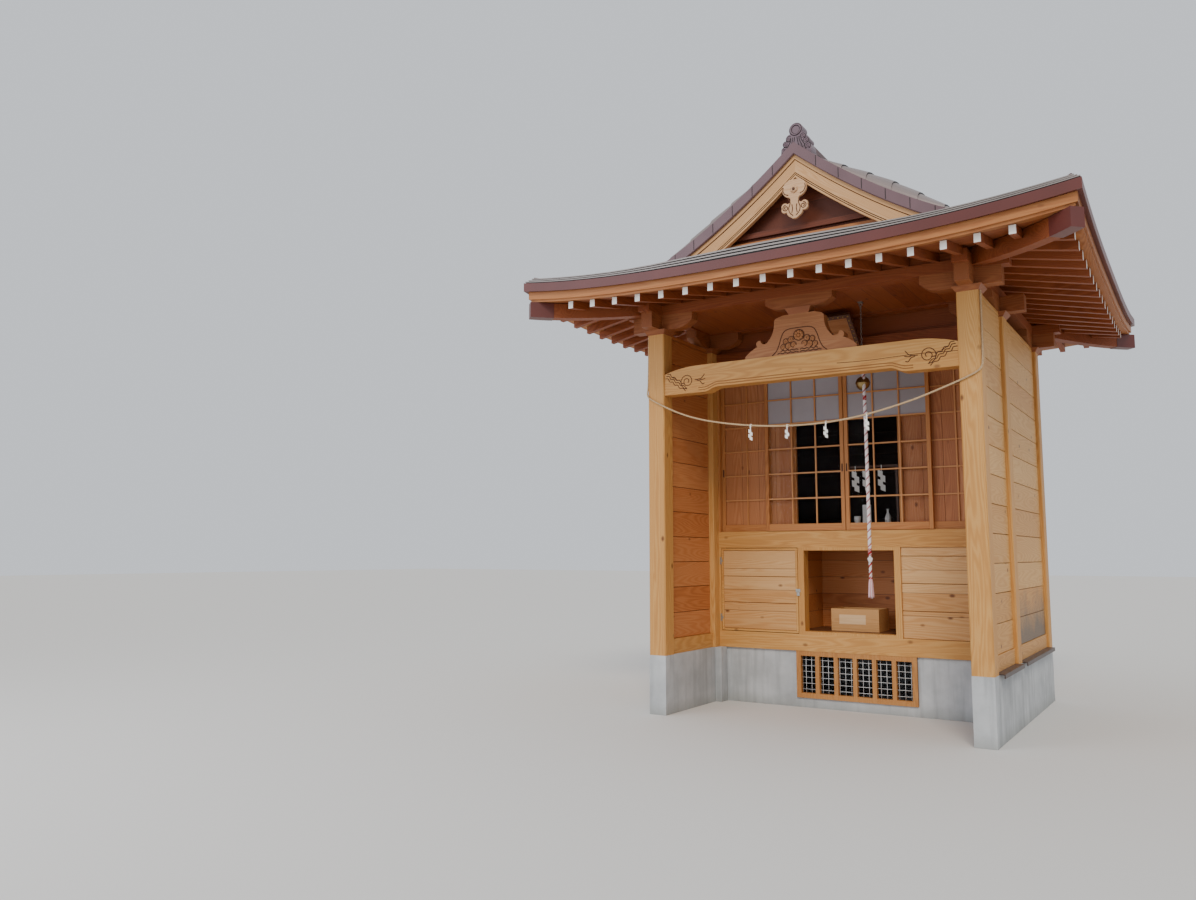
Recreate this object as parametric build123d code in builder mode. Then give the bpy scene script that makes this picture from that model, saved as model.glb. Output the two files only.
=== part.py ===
# Wayside shrine: a small timber hall behind a deep open porch, on a concrete foundation,
# under a hip-and-gable roof with curved slopes and upturned corners.
# Millimetres, +Z up, the front faces -Y. The origin is the middle of the plan at the
# foot of the foundation.
from build123d import *
from math import cos, pi, radians, sin, sqrt, tan
import os

os.makedirs("parts", exist_ok=True)

# Plan of the frame
width = 2650  # over the outer faces of the posts
depth = 2600
post = 150
porch_depth = 980  # front face of the front posts to the middle of the middle posts
hall_setback = 26  # middle of the middle posts to the front face of the hall
hall_member = 105  # thickness of the timbers in the hall front
wall_board = 75  # thickness of the drop-in wall boards
wall_recess = 30  # outer face of the boards behind the posts
post_chamfer = 8

# Foundation
foundation_height = 470
foundation_wall = 150
pilaster_proud = 20  # front of the pilaster before the hall foundation
vent_middle = 44
vent_width = 1016
vent_bottom = 80

# Heights of the frame
post_length = 2652
capital_height = 38
capital_flare = 28
arm_height = 125
arm_width = 100
arm_reach_in = 330  # middle of the post to the inner end of an arm
arm_reach_out = 228
purlin_width = 105
purlin_reach = 280  # middle of the corner post to the square end of a purlin

# Roof
overhang = 750  # outer face of the posts to the eave edge
eave_rise = 293  # top of the covering at the middle of an eave above the post tops
roof_pitch = 0.1975  # slope of the covering at the eave
roof_sweep = 0.0001594  # growth of the height with the square of the distance
corner_lift = 100
lift_reach = 2050  # the corners start to rise at this distance from them
lift_fade = 1400  # and the rise has faded out this far up the slope
cover = 70  # thickness of the covering with its battens
verge_inset = 770  # gable verge behind the eave edge
gable_inset = 900  # face of the gable wall behind the eave edge
gable_board = 30
skirt_head = 1030  # half the length of the skirt's upper edge behind the verge
verge_cap_height = 110
verge_cap_thickness = 20
barge_depth = 275  # top of the covering to the lower edge of the bargeboard
barge_thickness = 45
barge_gap = 5  # bargeboard behind the end of the covering

# Eaves
rafter_width = 45
rafter_height = 60
rafter_slope = 0.22
rafter_inset = 95  # rafter ends behind the eave edge
rafter_tail = 210  # inner end of a rafter behind the outer face of the purlin
rafter_bays = 12  # rafter spacings between two corner posts
fascia_height = 65
fascia_lip = 19
fascia_inset = 30
lip_inset = 45
fascia_back = 150
soffit_board = 12
soffit_play = 0.4  # of the boards on the twisted plane of the rafters
hip_width = 90
hip_height = 120
hip_inset = 40
hip_cap_length = 190
hip_cap_sheet = 3
hip_backing = 12  # top of a hip rafter below the meeting line of the soffits
seat = 0.3  # play between a piece and what it rests on

# Positions that follow from the plan
half_width = width / 2
half_depth = depth / 2
post_x = half_width - post / 2
post_y = half_depth - post / 2
middle_y = porch_depth - half_depth
hall_y = middle_y + hall_setback
hall_back_y = hall_y + hall_member
inner_x = post_x - post / 2  # inner faces of the posts
eave_x = half_width + overhang
eave_y = half_depth + overhang
post_top = foundation_height + post_length
eave_height = post_top + eave_rise
capital_top = post_top + capital_height
arm_top = capital_top + arm_height
middle_front_y = middle_y - post / 2
middle_rear_y = middle_y + post / 2
corner_posts = [(post_x, -post_y), (-post_x, -post_y), (post_x, post_y), (-post_x, post_y)]


def block(x_span, y_span, z_span, mode=Mode.ADD):
    """A squared timber between three pairs of coordinates."""
    spans = (x_span, y_span, z_span)
    with Locations(tuple((low + high) / 2 for low, high in spans)):
        Box(*(high - low for low, high in spans), mode=mode)


def both_sides(span):
    """The same span to the right and to the left of the middle."""
    return [span, (-span[1], -span[0])]


def flat_ring(middle, radius, wire, rotation):
    """A ring of square wire about a point."""
    with Locations(middle):
        Cylinder(radius + wire, 2 * wire, rotation=rotation)
        Cylinder(radius - wire, 2 * wire, rotation=rotation, mode=Mode.SUBTRACT)


def save(piece, label):
    """Name a finished piece and write its file."""
    piece.part.label = label
    export_step(piece.part, f"parts/{label}.step")


# Heights of the roof, from the distance behind the eave and the distance from the corner
def roof_top(inset, from_corner):
    near_corner = max(0, 1 - from_corner / lift_reach) ** 3
    near_eave = max(0, 1 - inset / lift_fade) ** 2
    swept = roof_pitch * inset + roof_sweep * inset**2
    return eave_height + swept + corner_lift * near_corner * near_eave


def rafter_end_top(from_corner):
    return roof_top(rafter_inset, from_corner) - cover - fascia_height - fascia_lip


purlin_inset = overhang + post / 2 - purlin_width / 2  # outer face of a purlin
rafter_run = purlin_inset - rafter_inset
rafter_seat_top = rafter_end_top(lift_reach) + rafter_slope * rafter_run
purlin_top = rafter_seat_top - rafter_height * sqrt(1 + rafter_slope**2) - seat


def rafter_top(inset, from_corner):
    end = rafter_end_top(from_corner)
    return end + (rafter_seat_top - end) / rafter_run * (inset - rafter_inset)


def stations(half_length):
    """Places along an eave where sections are taken, closer together near its corners."""
    steps = 8
    return [half_length * sin(pi / 2 * step / steps) for step in range(-steps, steps + 1)]


def eave_piece(section, half_eave, half_reach, outline):
    """A piece along the front eave, lofted through upright sections and cut to its outline in plan.

    section gives the corners of one section, as distance behind the eave and height, from the
    distance to the corner; a list in it is a curved edge."""
    with BuildPart() as piece:
        for along in stations(half_eave):
            plane = Plane(origin=(along, -half_reach, 0), x_dir=(0, 1, 0), z_dir=(1, 0, 0))
            with BuildSketch(plane):
                with BuildLine():
                    edges = section(half_eave - abs(along))
                    for points, following in zip(edges, edges[1:] + edges[:1]):
                        if len(points) > 1:
                            Spline(*points)
                        Line(points[-1], following[0])
                make_face()
        loft(ruled=True)
        with BuildSketch():
            with BuildLine():
                Polyline(*((x, inset - half_reach) for x, inset in outline), close=True)
            make_face()
        extrude(amount=2 * eave_height, mode=Mode.INTERSECT)
    return piece.part


def mitred(half_eave, near, far):
    """Plan outline of a piece between two distances behind the eave, mitred at the corners."""
    right = [(half_eave - near, near), (half_eave - far, far)]
    return right + [(-x, inset) for x, inset in reversed(right)]


def turned(shape, quarter_turns):
    return shape.rotate(Axis.Z, 90 * quarter_turns)


# Foundation: two wings, a rear wall and a set-back front wall with the vent opening
vent_span = (vent_middle - vent_width / 2, vent_middle + vent_width / 2)
vent_height = (vent_bottom, foundation_height)
foundation_span = (0, foundation_height)
foundation_hall_y = hall_y + pilaster_proud
wall_inner_x = half_width - foundation_wall
with BuildPart() as foundation:
    for side in both_sides((wall_inner_x, half_width)):
        block(side, (-half_depth, half_depth), foundation_span)
    for side in both_sides((wall_inner_x - pilaster_proud * 3, wall_inner_x)):
        block(side, (middle_front_y, middle_rear_y), foundation_span)
    block((-wall_inner_x, wall_inner_x), (half_depth - foundation_wall, half_depth), foundation_span)
    hall_wall = (foundation_hall_y, foundation_hall_y + foundation_wall)
    block((-wall_inner_x, wall_inner_x), hall_wall, foundation_span)
    block(vent_span, (hall_wall[0] - 1, hall_wall[1] + 1), vent_height, mode=Mode.SUBTRACT)
save(foundation, "foundation")

# Vent grille: a frame with upright bars and a square mesh behind them
vent_bars = 5
vent_frame = 40
vent_bar = 34
vent_depth = 45
vent_setback = 4  # front of the grille behind the hall front
vent_gap = 2
grille_x = (vent_span[0] + vent_gap, vent_span[1] - vent_gap)
grille_z = (vent_height[0], vent_height[1])
grille_y = (hall_y + vent_setback, hall_y + vent_setback + vent_depth)
with BuildPart() as vent_grille:
    block(grille_x, grille_y, grille_z)
    cell = (grille_x[1] - grille_x[0] - 2 * vent_frame - vent_bars * vent_bar) / (vent_bars + 1)
    for index in range(vent_bars + 1):
        left = grille_x[0] + vent_frame + index * (cell + vent_bar)
        opening_z = (grille_z[0] + vent_frame, grille_z[1] - vent_frame)
        block((left, left + cell), grille_y, opening_z, mode=Mode.SUBTRACT)
save(vent_grille, "vent_grille")

# Posts with chamfered arrises: four at the corners and two between porch and hall
middle_posts = [(post_x, middle_y), (-post_x, middle_y)]
for label, places in (("corner_posts", corner_posts), ("middle_posts", middle_posts)):
    with BuildPart() as posts:
        with Locations(*((x, y, foundation_height) for x, y in places)):
            Box(post, post, post_length, align=(Align.CENTER, Align.CENTER, Align.MIN))
        chamfer(posts.edges().filter_by(Axis.Z), post_chamfer)
    save(posts, label)

# Capitals: flared plates on the post heads
with BuildPart() as post_capitals:
    for place in corner_posts + middle_posts:
        for height, size in ((post_top, post), (capital_top, post + 2 * capital_flare)):
            with BuildSketch(Plane.XY.offset(height)):
                with Locations(place):
                    Rectangle(size, size)
        loft(ruled=True)
save(post_capitals, "post_capitals")

# Bracket arms: boat-shaped arms that cross on the capitals, halved into each other
arm_middle = capital_top + arm_height / 2
arm_toe = 60  # height of the arm at its inner end
arm_curve = 150  # length of the curved underside


def arm_profile(two_sided):
    """Side view of an arm; x runs towards the building from the post."""
    with BuildSketch() as profile:
        with BuildLine():
            toe = (arm_reach_in, arm_top - arm_toe)
            heel = (arm_reach_in - arm_curve, capital_top)
            out = -arm_reach_in if two_sided else -arm_reach_out
            Polyline(toe, (arm_reach_in, arm_top), (out, arm_top), *arm_outer(two_sided))
            TangentArc(heel, toe, tangent=(1, 0))
        make_face()
    return profile.sketch


def arm_outer(two_sided):
    """Corners of the outer end, down to the foot of the curved underside."""
    foot = (arm_reach_in - arm_curve, capital_top)
    if two_sided:
        return [(-arm_reach_in, arm_top - arm_toe), (arm_curve - arm_reach_in, capital_top), foot]
    return [(-arm_reach_out, capital_top), foot]


def lap_cut(x, y, z_span, mode=Mode.SUBTRACT):
    half = arm_width / 2
    block((x - half, x + half), (y - half, y + half), z_span, mode=mode)


with BuildPart() as cross_arms:
    for x, y in corner_posts + middle_posts:
        inward = Vector(-1 if x > 0 else 1, 0, 0)
        with BuildSketch(Plane(origin=(x, y, 0), x_dir=inward, z_dir=Vector(0, -inward.X, 0))):
            add(arm_profile(False))
        extrude(amount=arm_width / 2, both=True)
        lap_cut(x, y, (arm_middle, arm_top))
save(cross_arms, "bracket_arms_across")

with BuildPart() as long_arms:
    for x, y in corner_posts:
        inward = Vector(0, -1 if y > 0 else 1, 0)
        with BuildSketch(Plane(origin=(x, y, 0), x_dir=inward, z_dir=Vector(inward.Y, 0, 0))):
            add(arm_profile(False))
        extrude(amount=arm_width / 2, both=True)
        lap_cut(x, y, (capital_top, arm_middle))
    for x, y in middle_posts:
        with BuildSketch(Plane(origin=(x, y, 0), x_dir=(0, 1, 0), z_dir=(1, 0, 0))):
            add(arm_profile(True))
        extrude(amount=arm_width / 2, both=True)
        lap_cut(x, y, (capital_top, arm_middle))
save(long_arms, "bracket_arms_along")

# Rafters: straight, with square ends, resting on the outer edge of the purlins
def rafter(half_eave, half_reach, along, inner):
    """One rafter on the front side, at a place along the eave, level across its width."""
    from_corner = half_eave - abs(along) + rafter_width / 2
    top_outer = rafter_top(rafter_inset, from_corner) - seat
    top_inner = rafter_top(inner, from_corner) - seat
    slope = (top_inner - top_outer) / (inner - rafter_inset)
    drop = rafter_height * sqrt(1 + slope**2)
    with BuildSketch(Plane(origin=(along, -half_reach, 0), x_dir=(0, 1, 0), z_dir=(1, 0, 0))) as profile:
        with BuildLine():
            Polyline((rafter_inset, top_outer), (inner, top_inner), (inner, top_inner - drop),
                     (rafter_inset, top_outer - drop), close=True)
        make_face()
    return extrude(profile.sketch, amount=rafter_width / 2, both=True, mode=Mode.PRIVATE)


def rafter_row(half_eave, half_reach, half_bay):
    """The rafters of the front side, the outer ones shortened at the hip."""
    pitch = 2 * half_bay / rafter_bays
    hip_room = (hip_width / 2) * sqrt(2) + rafter_width / 2
    row = []
    count = int((half_eave - rafter_inset - hip_room - pitch) // pitch)
    for index in range(-count, count + 1):
        along = index * pitch
        to_hip = half_eave - abs(along) - hip_room
        row.append(rafter(half_eave, half_reach, along, min(purlin_inset + rafter_tail, to_hip)))
    return row


front_row = rafter_row(eave_x, eave_y, post_x)
side_row = rafter_row(eave_y, eave_x, post_y)
with BuildPart() as cross_rafters:
    for turns in (0, 2):
        for piece in front_row:
            add(turned(piece, turns))
save(cross_rafters, "front_and_rear_rafters")
with BuildPart() as side_rafters:
    for turns in (1, 3):
        for piece in side_row:
            add(turned(piece, turns))
save(side_rafters, "side_rafters")

# Purlins: crossed and halved over the corner posts, their ends let in under the jack rafters
purlin_half = purlin_width / 2
purlin_lap = (arm_top + purlin_top) / 2
purlin_z = (arm_top, purlin_top)
cross_beam_y = (middle_y - purlin_half, middle_y + purlin_half)
between_purlins = post_x - purlin_half
with BuildPart() as cross_purlins:
    block((-between_purlins, between_purlins), cross_beam_y, purlin_z)
    for y in (-post_y, post_y):
        block((-post_x - purlin_reach, post_x + purlin_reach), (y - purlin_half, y + purlin_half), purlin_z)
    for x, y in corner_posts:
        block((x - purlin_half, x + purlin_half), (y - purlin_half, y + purlin_half),
              (purlin_lap, purlin_top), mode=Mode.SUBTRACT)
    add(side_rafters.part, mode=Mode.SUBTRACT)
save(cross_purlins, "cross_purlins")

with BuildPart() as side_purlins:
    for x in (-post_x, post_x):
        block((x - purlin_half, x + purlin_half), (-post_y - purlin_reach, post_y + purlin_reach), purlin_z)
    for x, y in corner_posts:
        block((x - purlin_half, x + purlin_half), (y - purlin_half, y + purlin_half),
              (arm_top, purlin_lap), mode=Mode.SUBTRACT)
    add(cross_rafters.part, mode=Mode.SUBTRACT)
save(side_purlins, "side_purlins")

# Hip rafters: curved up at their ends, notched over the crossed purlins
hip_tail = purlin_inset + rafter_tail


def hip_profile(near, far, grow=0):
    """Vertical section along a hip; x runs inwards, its scale is that of the diagonal."""
    steps = 6
    insets = [near + (far - near) * step / steps for step in range(steps + 1)]
    top = [(inset * sqrt(2), rafter_top(inset, inset) - hip_backing + grow) for inset in insets]
    bottom = [(run, height - hip_height - 2 * grow) for run, height in reversed(top)]
    with BuildSketch() as profile:
        with BuildLine():
            Spline(*top)
            Line(top[-1], bottom[0])
            Spline(*bottom)
            Line(bottom[-1], top[0])
        make_face()
    return profile.sketch


def hip_plane(x_side, y_side):
    inward = Vector(-x_side, -y_side, 0).normalized()
    across = Vector(-inward.Y, inward.X, 0)
    return Plane(origin=(x_side * eave_x, y_side * eave_y, 0), x_dir=inward, z_dir=across * -1)


corners = [(1, -1), (-1, -1), (1, 1), (-1, 1)]
with BuildPart() as hip_rafters:
    for x_side, y_side in corners:
        with BuildSketch(hip_plane(x_side, y_side)):
            add(hip_profile(hip_inset, hip_tail))
        extrude(amount=hip_width / 2, both=True)
    add(cross_purlins.part, mode=Mode.SUBTRACT)
    add(side_purlins.part, mode=Mode.SUBTRACT)
save(hip_rafters, "hip_rafters")

hip_cap_far = hip_inset + hip_cap_length / sqrt(2)
with BuildPart() as hip_caps:
    for x_side, y_side in corners:
        with BuildSketch(hip_plane(x_side, y_side)):
            add(hip_profile(hip_inset - hip_cap_sheet, hip_cap_far, grow=hip_cap_sheet))
        extrude(amount=hip_width / 2 + hip_cap_sheet, both=True)
    add(hip_rafters.part, mode=Mode.SUBTRACT)
save(hip_caps, "hip_end_caps")

# Covering: four curved slabs that meet in the hips
slab_steps = 6


def slab(half_eave, half_reach, far, head):
    """One side of the covering: its outline in plan follows the hips, then the verges."""
    def section(from_corner):
        insets = [far * step / slab_steps for step in range(slab_steps + 1)]
        top = [(inset, roof_top(inset, from_corner)) for inset in insets]
        bottom = [(inset, height - cover) for inset, height in reversed(top)]
        return [top, bottom]

    verge = half_eave - verge_inset
    right = [(half_eave, 0), (verge, verge_inset), (head, verge_inset), (head, far)]
    left = [(-x, inset) for x, inset in reversed(right)]
    outline = dict.fromkeys(right + left)
    return eave_piece(section, half_eave, half_reach, outline)


main_slab = slab(eave_y, eave_x, eave_x, eave_y - verge_inset)
skirt_slab = slab(eave_x, eave_y, gable_inset, skirt_head)
for label, turns in (("roof_right_slope", 1), ("roof_left_slope", 3)):
    with BuildPart() as slope:
        add(turned(main_slab, turns))
    save(slope, label)
with BuildPart() as skirts:
    for turns in (0, 2):
        add(turned(skirt_slab, turns))
save(skirts, "roof_skirts")

# Eave fascia: a board under the edge of the covering with a set-back lip on the rafter ends
def fascia_board(half_eave, half_reach):
    def section(from_corner):
        middle = (fascia_inset + fascia_back) / 2
        top = [(inset, roof_top(inset, from_corner) - cover - seat)
               for inset in (fascia_inset, middle, fascia_back)]
        drop = fascia_height + fascia_lip - 2 * seat
        outer, inner = top[0][1] - drop, top[2][1] - drop
        foot = outer + (inner - outer) * (lip_inset - fascia_inset) / (fascia_back - fascia_inset)
        lip = roof_top(lip_inset, from_corner) - cover - fascia_height
        corners = [*top, (fascia_back, inner), (lip_inset, foot), (lip_inset, lip), (fascia_inset, lip)]
        return [[corner] for corner in corners]

    return eave_piece(section, half_eave, half_reach, mitred(half_eave, fascia_inset, fascia_back))


front_fascia = fascia_board(eave_x, eave_y)
side_fascia = fascia_board(eave_y, eave_x)
with BuildPart() as cross_fascia:
    add(front_fascia)
    add(turned(front_fascia, 2))
save(cross_fascia, "front_and_rear_fascia")
with BuildPart() as side_fascias:
    add(turned(side_fascia, 1))
    add(turned(side_fascia, 3))
save(side_fascias, "side_fascia")

# Soffit boards on the rafters, open over the hips where the hip rafters carry them
hip_joint = 3
soffit_far = purlin_inset + rafter_tail


def soffit_side(half_eave, half_reach):
    def section(from_corner):
        near = (fascia_back, rafter_top(fascia_back, from_corner) + soffit_play)
        far = (soffit_far, rafter_top(soffit_far, from_corner) + soffit_play)
        return [[near], [far], [(far[0], far[1] + soffit_board)], [(near[0], near[1] + soffit_board)]]

    return eave_piece(section, half_eave, half_reach, mitred(half_eave - hip_joint, fascia_back, soffit_far))


front_soffit = soffit_side(eave_x, eave_y)
side_soffit = soffit_side(eave_y, eave_x)
with BuildPart() as soffit_boards:
    for shape, turns in ((front_soffit, 0), (side_soffit, 1), (front_soffit, 2), (side_soffit, 3)):
        add(turned(shape, turns))
save(soffit_boards, "soffit_boards")

# Gables: pieces between two curves that follow the covering at constant drops
gable_steps = 6
verge_foot = 1290  # half lengths of the upper and lower edge of the verge cap
verge_toe = 1150
barge_foot = skirt_head - 5
barge_toe = 800
gable_foot = 1150
gable_base = roof_top(gable_inset, eave_x) - cover + 2


def under_main(x, drop):
    return (x, roof_top(eave_x - x, eave_y) - drop)


def gable_curve(foot, drop):
    return [under_main(foot * step / gable_steps, drop) for step in range(gable_steps + 1)]


def gable_band(top, bottom, corners):
    """Both halves of an inverted V between a top and a bottom curve; corners join their feet."""
    with BuildSketch() as face:
        with BuildLine():
            Spline(*top)
            Polyline(top[-1], *corners, bottom[-1])
            Spline(*reversed(bottom))
            Line(bottom[0], top[0])
        make_face()
        mirror(about=Plane.YZ)
    return face.sketch


def two_gables(sketch, inset, thickness, cutter=None):
    """A piece of the front gable, its face a distance behind the eave, and its copy in the rear."""
    with BuildPart() as piece:
        with BuildSketch(Plane.XZ.offset(eave_y - inset)):
            add(sketch)
        extrude(amount=-thickness)
        if cutter is not None:
            add(cutter, mode=Mode.SUBTRACT)
    with BuildPart() as pair:
        add(piece.part)
        add(turned(piece.part, 2))
    return pair


verge_cap_face = gable_band(gable_curve(verge_foot, 0), gable_curve(verge_toe, verge_cap_height), [])
verge_caps = two_gables(verge_cap_face, verge_inset - verge_cap_thickness, verge_cap_thickness, skirt_slab)
save(verge_caps, "verge_caps")

barge_inset = verge_inset + barge_gap
barge_lowest = under_main(barge_toe, barge_depth)[1]
barge_face = gable_band(gable_curve(barge_foot, cover + seat), gable_curve(barge_toe, barge_depth),
                        [(barge_foot, barge_lowest)])
bargeboards = two_gables(barge_face, barge_inset, barge_thickness, skirt_slab)
save(bargeboards, "bargeboards")

with BuildSketch() as gable_face:
    with BuildLine():
        Spline(*gable_curve(gable_foot, cover + seat))
        Polyline(under_main(gable_foot, cover + seat), (gable_foot, gable_base), (0, gable_base),
                 under_main(0, cover + seat))
    make_face()
    mirror(about=Plane.YZ)

# A light beam crosses each gable wall below the middle of its height
gable_beam_half = 745
gable_beam_z = 420  # lower edge above the eave
gable_beam_height = 45
gable_beam_depth = 40
with BuildSketch() as beam_face:
    with Locations((0, eave_height + gable_beam_z + gable_beam_height / 2)):
        Rectangle(2 * gable_beam_half, gable_beam_height)
with BuildPart() as gable_walls:
    add(two_gables(gable_face.sketch, gable_inset, gable_board).part)
    add(two_gables(beam_face.sketch, gable_inset - gable_beam_depth, gable_beam_depth).part)
save(gable_walls, "gable_walls")

# Gable pendants: a shouldered head with a peg over two scrolls
pendant_top = eave_height + 792
pendant_arcs = [((76, -18), (104, -64)), ((92, -112), (57, -148)), ((66, -176), (96, -188)),
                ((121, -224), (88, -256)), ((60, -266), (46, -290)), ((26, -305), (0, -308))]
pendant_thickness = 28
pendant_peg = 22
pendant_peg_length = 22
pendant_peg_drop = 80
with BuildSketch() as pendant_face:
    with BuildLine():
        start = (0, pendant_top)
        for through, end in pendant_arcs:
            corner = (end[0], pendant_top + end[1])
            ThreePointArc(start, (through[0], pendant_top + through[1]), corner)
            start = corner
        Line(start, (0, pendant_top))
    make_face()
    mirror(about=Plane.YZ)
with BuildSketch() as peg_face:
    with Locations((0, pendant_top - pendant_peg_drop)):
        RegularPolygon(pendant_peg, 6)
pendant_inset = barge_inset - pendant_thickness
with BuildPart() as gable_pendants:
    add(two_gables(pendant_face.sketch, pendant_inset, pendant_thickness).part)
    add(two_gables(peg_face.sketch, pendant_inset - pendant_peg_length, pendant_peg_length).part)
save(gable_pendants, "gable_pendants")

# Ridge: a rounded cap along the top, closed at each end by a scrolled ridge-end ornament
ridge_half = 70
ridge_shoulder = 50  # above the meeting line of the two slopes
ridge_crown = 88
ornament_inset = 810  # face of the ornament behind the eave edge
ornament_thickness = 110
ridge_peak = roof_top(eave_x, eave_y)
ridge_end = eave_y - ornament_inset - ornament_thickness
with BuildPart() as roof_ridge:
    with BuildSketch(Plane.XZ.offset(-ridge_end)):
        with BuildLine():
            shoulder = (ridge_half, ridge_peak + ridge_shoulder)
            Polyline((0, ridge_peak + seat), under_main(ridge_half, -seat), shoulder)
            ThreePointArc(shoulder, (ridge_half * 0.6, ridge_peak + ridge_crown * 0.93),
                          (0, ridge_peak + ridge_crown))
            Line((0, ridge_peak + ridge_crown), (0, ridge_peak + seat))
        make_face()
        mirror(about=Plane.YZ)
    extrude(amount=2 * ridge_end)
save(roof_ridge, "roof_ridge")

ornament_half = 118
disc_radius = 56
disc_height = 128  # middle of the disc above the ridge line
with BuildPart() as ornament:
    with BuildSketch(Plane.XZ.offset(eave_y - ornament_inset)):
        with BuildLine():
            foot = under_main(ornament_half, -seat)
            neck = (disc_radius * 0.86, ridge_peak + disc_height - disc_radius * 0.5)
            Polyline((0, ridge_peak + seat), foot, (ornament_half + 8, foot[1] + 40))
            Spline((ornament_half + 8, foot[1] + 40), (ornament_half * 0.7, ridge_peak + 25), neck)
            Polyline(neck, (0, neck[1]), (0, ridge_peak + seat))
        make_face()
        mirror(about=Plane.YZ)
        with Locations((0, ridge_peak + disc_height)):
            Circle(disc_radius)
    extrude(amount=-ornament_thickness)
    with BuildSketch(Plane.XZ.offset(eave_y - ornament_inset)):
        with Locations((0, ridge_peak + disc_height)):
            Circle(disc_radius * 0.8)
    extrude(amount=12)
with BuildPart() as ridge_ends:
    add(ornament.part)
    add(turned(ornament.part, 2))
save(ridge_ends, "ridge_end_ornaments")

# Rainbow beam between the front posts, higher in the middle than at its ends
beam_z = post_top - 522  # lower edge of the ends
beam_thickness = 120
beam_setback = 15  # behind the front of the posts
beam_middle_bottom = 34  # rise of the lower edge
beam_end_top = 175
beam_top = 224
shoulder_start = 810  # half lengths where the lower edge starts and ends its rise
shoulder_end = 690
crown_start = 860
shoulder_knee = (1080, 26)  # half length and rise of the beam's upper edge above its end
beam_face_y = -half_depth + beam_setback
with BuildPart() as rainbow_beam:
    with BuildSketch(Plane.XZ.offset(-beam_face_y)):
        with BuildLine():
            low = (0, beam_z + beam_middle_bottom)
            rise_to = (shoulder_end, beam_z + beam_middle_bottom)
            rise_from = (shoulder_start, beam_z)
            Line(low, rise_to)
            Spline(rise_to, rise_from, tangents=[(1, 0), (1, 0)])
            Polyline(rise_from, (inner_x, beam_z), (inner_x, beam_z + beam_end_top))
            crown = (crown_start, beam_z + beam_top)
            knee = (shoulder_knee[0], beam_z + beam_end_top + shoulder_knee[1])
            Spline((inner_x, beam_z + beam_end_top), knee, crown, tangents=[(-1, 0.35), (-1, 0)])
            Polyline(crown, (0, beam_z + beam_top), low)
        make_face()
        mirror(about=Plane.YZ)
    extrude(amount=-beam_thickness)
save(rainbow_beam, "rainbow_beam")

# Frog-leg strut, bearing block and boat bracket, one on the other, up to the front purlin
strut_thickness = 90
strut_foot = beam_z + beam_top
strut_height = 316
strut_half = 450
strut_toe = 22
strut_lobes = [((404, 60), (346, 92)), ((352, 126), (318, 138)), ((292, 108), (258, 122)),
               ((216, 186), (202, 266)), ((192, 294), (168, 304))]
strut_head = 128
block_height = 50
block_foot = 160
block_spread = 50
block_proud = 30
with BuildPart() as frog_leg_strut:
    with BuildSketch(Plane.XZ.offset(post_y + strut_thickness / 2)):
        with BuildLine():
            start = (strut_half, strut_foot + strut_toe)
            Polyline((0, strut_foot), (strut_half, strut_foot), start)
            for through, end in strut_lobes:
                corner = (end[0], strut_foot + end[1])
                ThreePointArc(start, (through[0], strut_foot + through[1]), corner)
                start = corner
            head_z = strut_foot + strut_height
            Polyline(start, (strut_head, head_z), (0, head_z), (0, strut_foot))
        make_face()
        mirror(about=Plane.YZ)
    extrude(amount=-strut_thickness)
save(frog_leg_strut, "frog_leg_strut")

block_z = strut_foot + strut_height
boat_z = block_z + block_height
with BuildPart() as bearing_block:
    for z, grown in ((block_z, (0, 0)), (boat_z, (block_spread, block_proud))):
        with BuildSketch(Plane.XY.offset(z)):
            with Locations((0, -post_y)):
                Rectangle(block_foot + grown[0], strut_thickness + grown[1])
    loft(ruled=True)
save(bearing_block, "bearing_block")

boat_half = 272
boat_toe = 45
boat_curve = 140  # length of the curved underside at each end
with BuildPart() as boat_bracket:
    with BuildSketch(Plane.XZ.offset(post_y + arm_width / 2)):
        with BuildLine():
            keel = (boat_half - boat_curve, boat_z)
            prow = (boat_half, arm_top - boat_toe)
            Polyline((0, boat_z), keel)
            TangentArc(keel, prow, tangent=(1, 0))
            Polyline(prow, (boat_half, arm_top), (0, arm_top), (0, boat_z))
        make_face()
        mirror(about=Plane.YZ)
    extrude(amount=-arm_width)
save(boat_bracket, "boat_bracket")

# Sills on the foundation, between the posts
sill_width = 105
side_sill_top = foundation_height + 120
front_sill_top = foundation_height + 142
post_inner_y = post_y - post / 2
bays = [(-post_inner_y, middle_front_y), (middle_rear_y, post_inner_y)]
with BuildPart() as side_sills:
    for bay in bays:
        for side in both_sides((post_x - sill_width / 2, post_x + sill_width / 2)):
            block(side, bay, (foundation_height, side_sill_top))
save(side_sills, "side_sills")

rear_sill_y = (post_y - sill_width / 2, post_y + sill_width / 2)
with BuildPart() as cross_sills:
    block((-inner_x, inner_x), (hall_y, hall_back_y), (foundation_height, front_sill_top))
    block((-inner_x, inner_x), rear_sill_y, (foundation_height, side_sill_top))
save(cross_sills, "front_and_rear_sills")

# Drip flashing on the foundation under the outer walls
flash_reach = 40
flash_thickness = 8
flash_lip = 22
with BuildPart() as drip_flashing:
    for side in (1, -1):
        for bay in bays:
            cover_x = (post_x + sill_width / 2, half_width + flash_reach)
            lip_x = (cover_x[1] - flash_thickness, cover_x[1])
            for x_span, low in ((cover_x, foundation_height), (lip_x, foundation_height - flash_lip)):
                ends = x_span if side > 0 else (-x_span[1], -x_span[0])
                block(ends, bay, (low, foundation_height + flash_thickness))
save(drip_flashing, "drip_flashing")

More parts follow.
